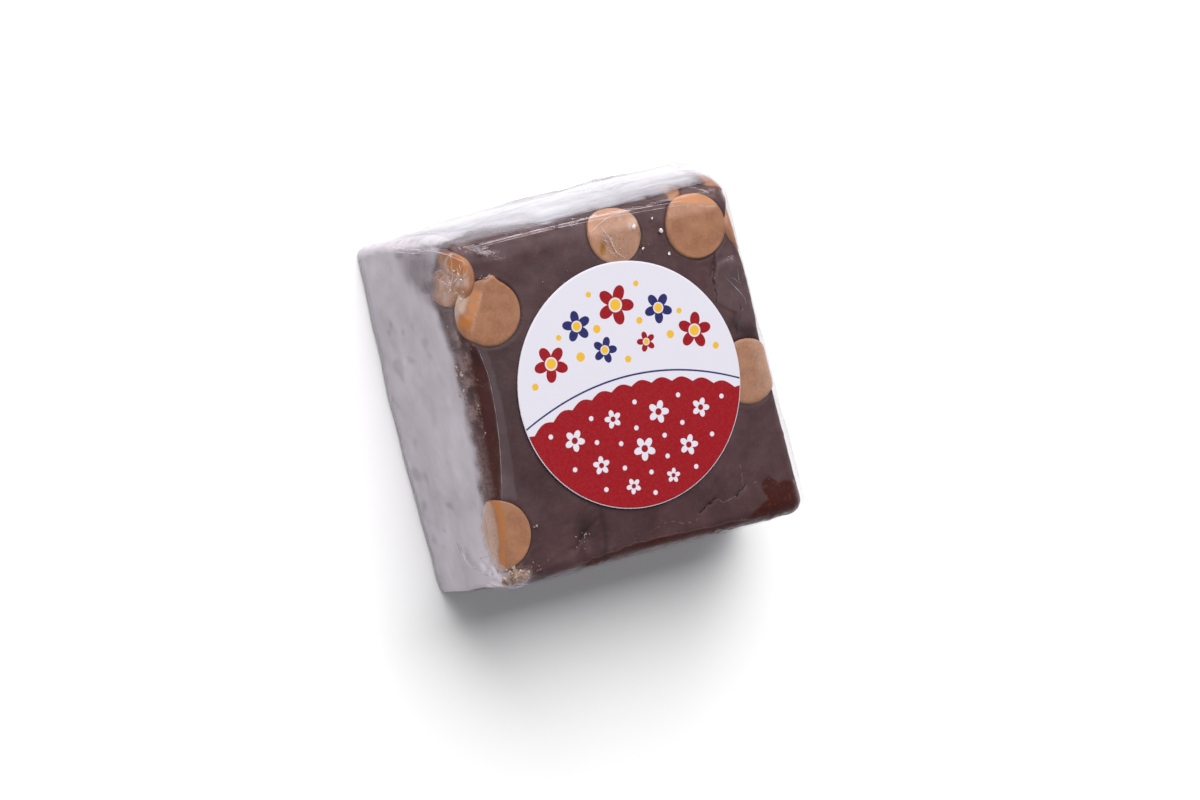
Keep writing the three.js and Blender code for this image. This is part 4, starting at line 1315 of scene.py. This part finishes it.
def scattered(middle, reach, count, sizes, draw):
    """Places for crumbs: X and Y at random in an ellipse round a middle, with radii between two sizes."""
    angle, share = draw.uniform(0, 2 * math.pi, count), draw.uniform(0, 1, count) ** 0.6
    x = middle[0] + reach[0] * share * np.cos(angle)
    y = middle[1] + reach[1] * share * np.sin(angle)
    return x, y, draw.uniform(*sizes, count) * draw.uniform(0.5, 1, count)


def crumb_spots(clusters, seed):
    """Rows of X, Y, Z and radius for crumbs that lie on the fudge just under the film."""
    draw = np.random.default_rng(seed)
    x, y, size = (np.concatenate(column) for column in zip(*(scattered(*c, draw) for c in clusters)))
    return np.stack([x, y, film_height(x, y) - 0.06, size], -1)


# Crumbs in clusters: middle, reach, number, and smallest and largest radius.
PALE_CLUSTERS = [
    ((-27.0, 6.2), (0.4, 1.3), 14, (0.12, 0.36)),
    ((-26.8, 3.0), (0.5, 1.6), 12, (0.10, 0.30)),
    ((-25.6, -1.0), (0.35, 2.0), 12, (0.07, 0.2)),
    ((-25.5, -4.5), (0.3, 1.8), 6, (0.06, 0.16)),
    ((-27.2, 12.2), (0.7, 2.4), 14, (0.07, 0.2)),
    ((-25.0, -29.0), (2.3, 1.3), 95, (0.16, 0.70)),
    ((-25.9, -27.4), (0.7, 0.5), 8, (0.20, 0.5)),
    ((-27.6, -26.6), (0.5, 2.4), 22, (0.08, 0.26)),
    ((-21.0, -27.8), (2.2, 1.6), 9, (0.06, 0.16)),
    ((-20.2, -21.4), (0.6, 0.2), 4, (0.14, 0.26)),
    ((-20.0, 25.4), (1.8, 0.5), 10, (0.07, 0.2)),
    ((-14.0, 20.0), (8.0, 6.0), 9, (0.04, 0.1)),
    ((27.0, 9.0), (2.0, 6.0), 8, (0.05, 0.12)),
    ((0.0, 0.0), (29.0, 29.0), 22, (0.03, 0.10)),
]
# Nearly white crumbs, some of them painted glints.
WHITE_CRUMB_AND_GLINT_CLUSTERS = [
    ((8.9, 24.3), (0.1, 0.1), 1, (0.42, 0.48)),
    ((9.7, 20.5), (0.2, 0.2), 2, (0.24, 0.42)),
    ((14.4, 18.6), (0.15, 0.15), 2, (0.26, 0.38)),
    ((13.8, 22.6), (0.1, 0.1), 1, (0.40, 0.46)),
    ((12.6, 25.1), (0.1, 0.1), 1, (0.24, 0.3)),
    # Painted glints: bright specks standing for small highlights on the film in the dip.
    ((-12.2, -25.8), (1.6, 1.6), 11, (0.05, 0.13)),
    ((-10.6, -24.4), (0.8, 1.2), 5, (0.05, 0.11)),
    ((5.0, 22.0), (2.4, 2.6), 10, (0.04, 0.1)),
    ((-25.4, 21.0), (1.4, 2.6), 22, (0.05, 0.16)),
]
DARK_CLUSTERS = [
    ((9.6, 21.8), (0.3, 2.2), 9, (0.12, 0.3)),
    ((-25.2, 10.6), (0.6, 0.8), 6, (0.14, 0.3)),
    ((-24.8, 5.0), (0.3, 0.5), 3, (0.14, 0.3)),
    ((18.6, -29.5), (0.8, 0.3), 5, (0.14, 0.28)),
]


# Each kind of crumb: its clusters, slot, random seed, and darkest and lightest colour.
CRUMBS = {
    "pale_crumbs": (PALE_CLUSTERS, "peanut_butter", 5, (0.21, 0.125, 0.085), (0.40, 0.29, 0.235)),
    "fudge_crumbs": (DARK_CLUSTERS, "fudge", 7, (0.060, 0.016, 0.012), (0.13, 0.045, 0.035)),
    # White crumbs, partly painted glints.
    "white_crumbs_and_painted_glints": (WHITE_CRUMB_AND_GLINT_CLUSTERS, "peanut_butter", 9, (0.60, 0.54, 0.51), (0.82, 0.78, 0.77)),
}


def add_light(name, place, size, power, colour):
    """A square area light in metres and watts that faces the block."""
    light = bpy.data.lights.new(name, "AREA")
    light.size, light.energy, light.color = size, power, colour
    lamp = bpy.data.objects.new(name, light)
    back = unit(np.array(place, float))
    right = unit(np.cross((0.0, 1.0, 0.0) if abs(back[1]) < 0.9 else (1.0, 0.0, 0.0), back))
    turn = np.eye(4)
    turn[:3, 0], turn[:3, 1], turn[:3, 2], turn[:3, 3] = right, np.cross(back, right), back, place
    lamp.matrix_world = Matrix(turn.tolist())
    bpy.context.collection.objects.link(lamp)


def add_camera():
    """The camera at the photograph's view of the block."""
    camera = bpy.data.objects.new("camera", bpy.data.cameras.new("camera"))
    camera.data.lens, camera.data.sensor_width = LENS_MM, SENSOR_MM
    camera.data.clip_start, camera.data.clip_end = 0.01, 20
    turn = np.eye(4)
    turn[:3, 0], turn[:3, 1], turn[:3, 2] = CAMERA_RIGHT, CAMERA_UP, CAMERA_BACK
    turn[:3, 3] = np.array(CAMERA_AT) * MM + ORIGIN
    camera.matrix_world = Matrix(turn.tolist())
    bpy.context.collection.objects.link(camera)
    bpy.context.scene.camera = camera


def add_studio():
    """A plain pale floor, a soft key light from behind and above, a weaker fill and an even pale room."""
    mesh = bpy.data.meshes.new("floor")
    corners = [(-FLOOR_HALF, -FLOOR_HALF, 0), (FLOOR_HALF, -FLOOR_HALF, 0)]
    corners += [(FLOOR_HALF, FLOOR_HALF, 0), (-FLOOR_HALF, FLOOR_HALF, 0)]
    mesh.from_pydata(corners, [], [(0, 1, 2, 3)])
    mesh.materials.append(floor_finish())
    floor = bpy.data.objects.new("floor", mesh)
    bpy.context.collection.objects.link(floor)
    for name, light in LIGHTS.items():
        add_light(name, **light)
    world = bpy.data.worlds.new("pale_room")
    world.use_nodes = True
    nodes, link = world.node_tree.nodes, world.node_tree.links.new
    kinds = ("ShaderNodeTexCoord", "ShaderNodeSeparateXYZ", "ShaderNodeMapRange")
    way, parts, ramp = (nodes.new(kind) for kind in kinds)
    link(way.outputs["Generated"], parts.inputs[0])
    link(parts.outputs["Z"], ramp.inputs["Value"])
    ramp.interpolation_type = "SMOOTHSTEP"
    for name, value in ROOM.items():
        ramp.inputs[name].default_value = value
    link(ramp.outputs["Result"], nodes["Background"].inputs["Strength"])
    nodes["Background"].inputs["Color"].default_value = (0.94, 0.945, 1.0, 1.0)
    bpy.context.scene.world = world
    bpy.context.scene.view_settings.view_transform = "Standard"


add_camera()
add_studio()
film = film_finish()
add_fudge(fudge_finish())
drop_material = drop_finish()
for drop_name in DROPS:
    add_drop(drop_name, drop_material)
add_sticker(sticker_finish())
add_film(film)
add_back_fold(film)
add_front_fold(film)
add_creases(film)
for name, (clusters, slot, seed, dark, light) in CRUMBS.items():
    add_crumbs(name, crumb_spots(clusters, seed), crumb_finish(name, dark, light), seed + 1)
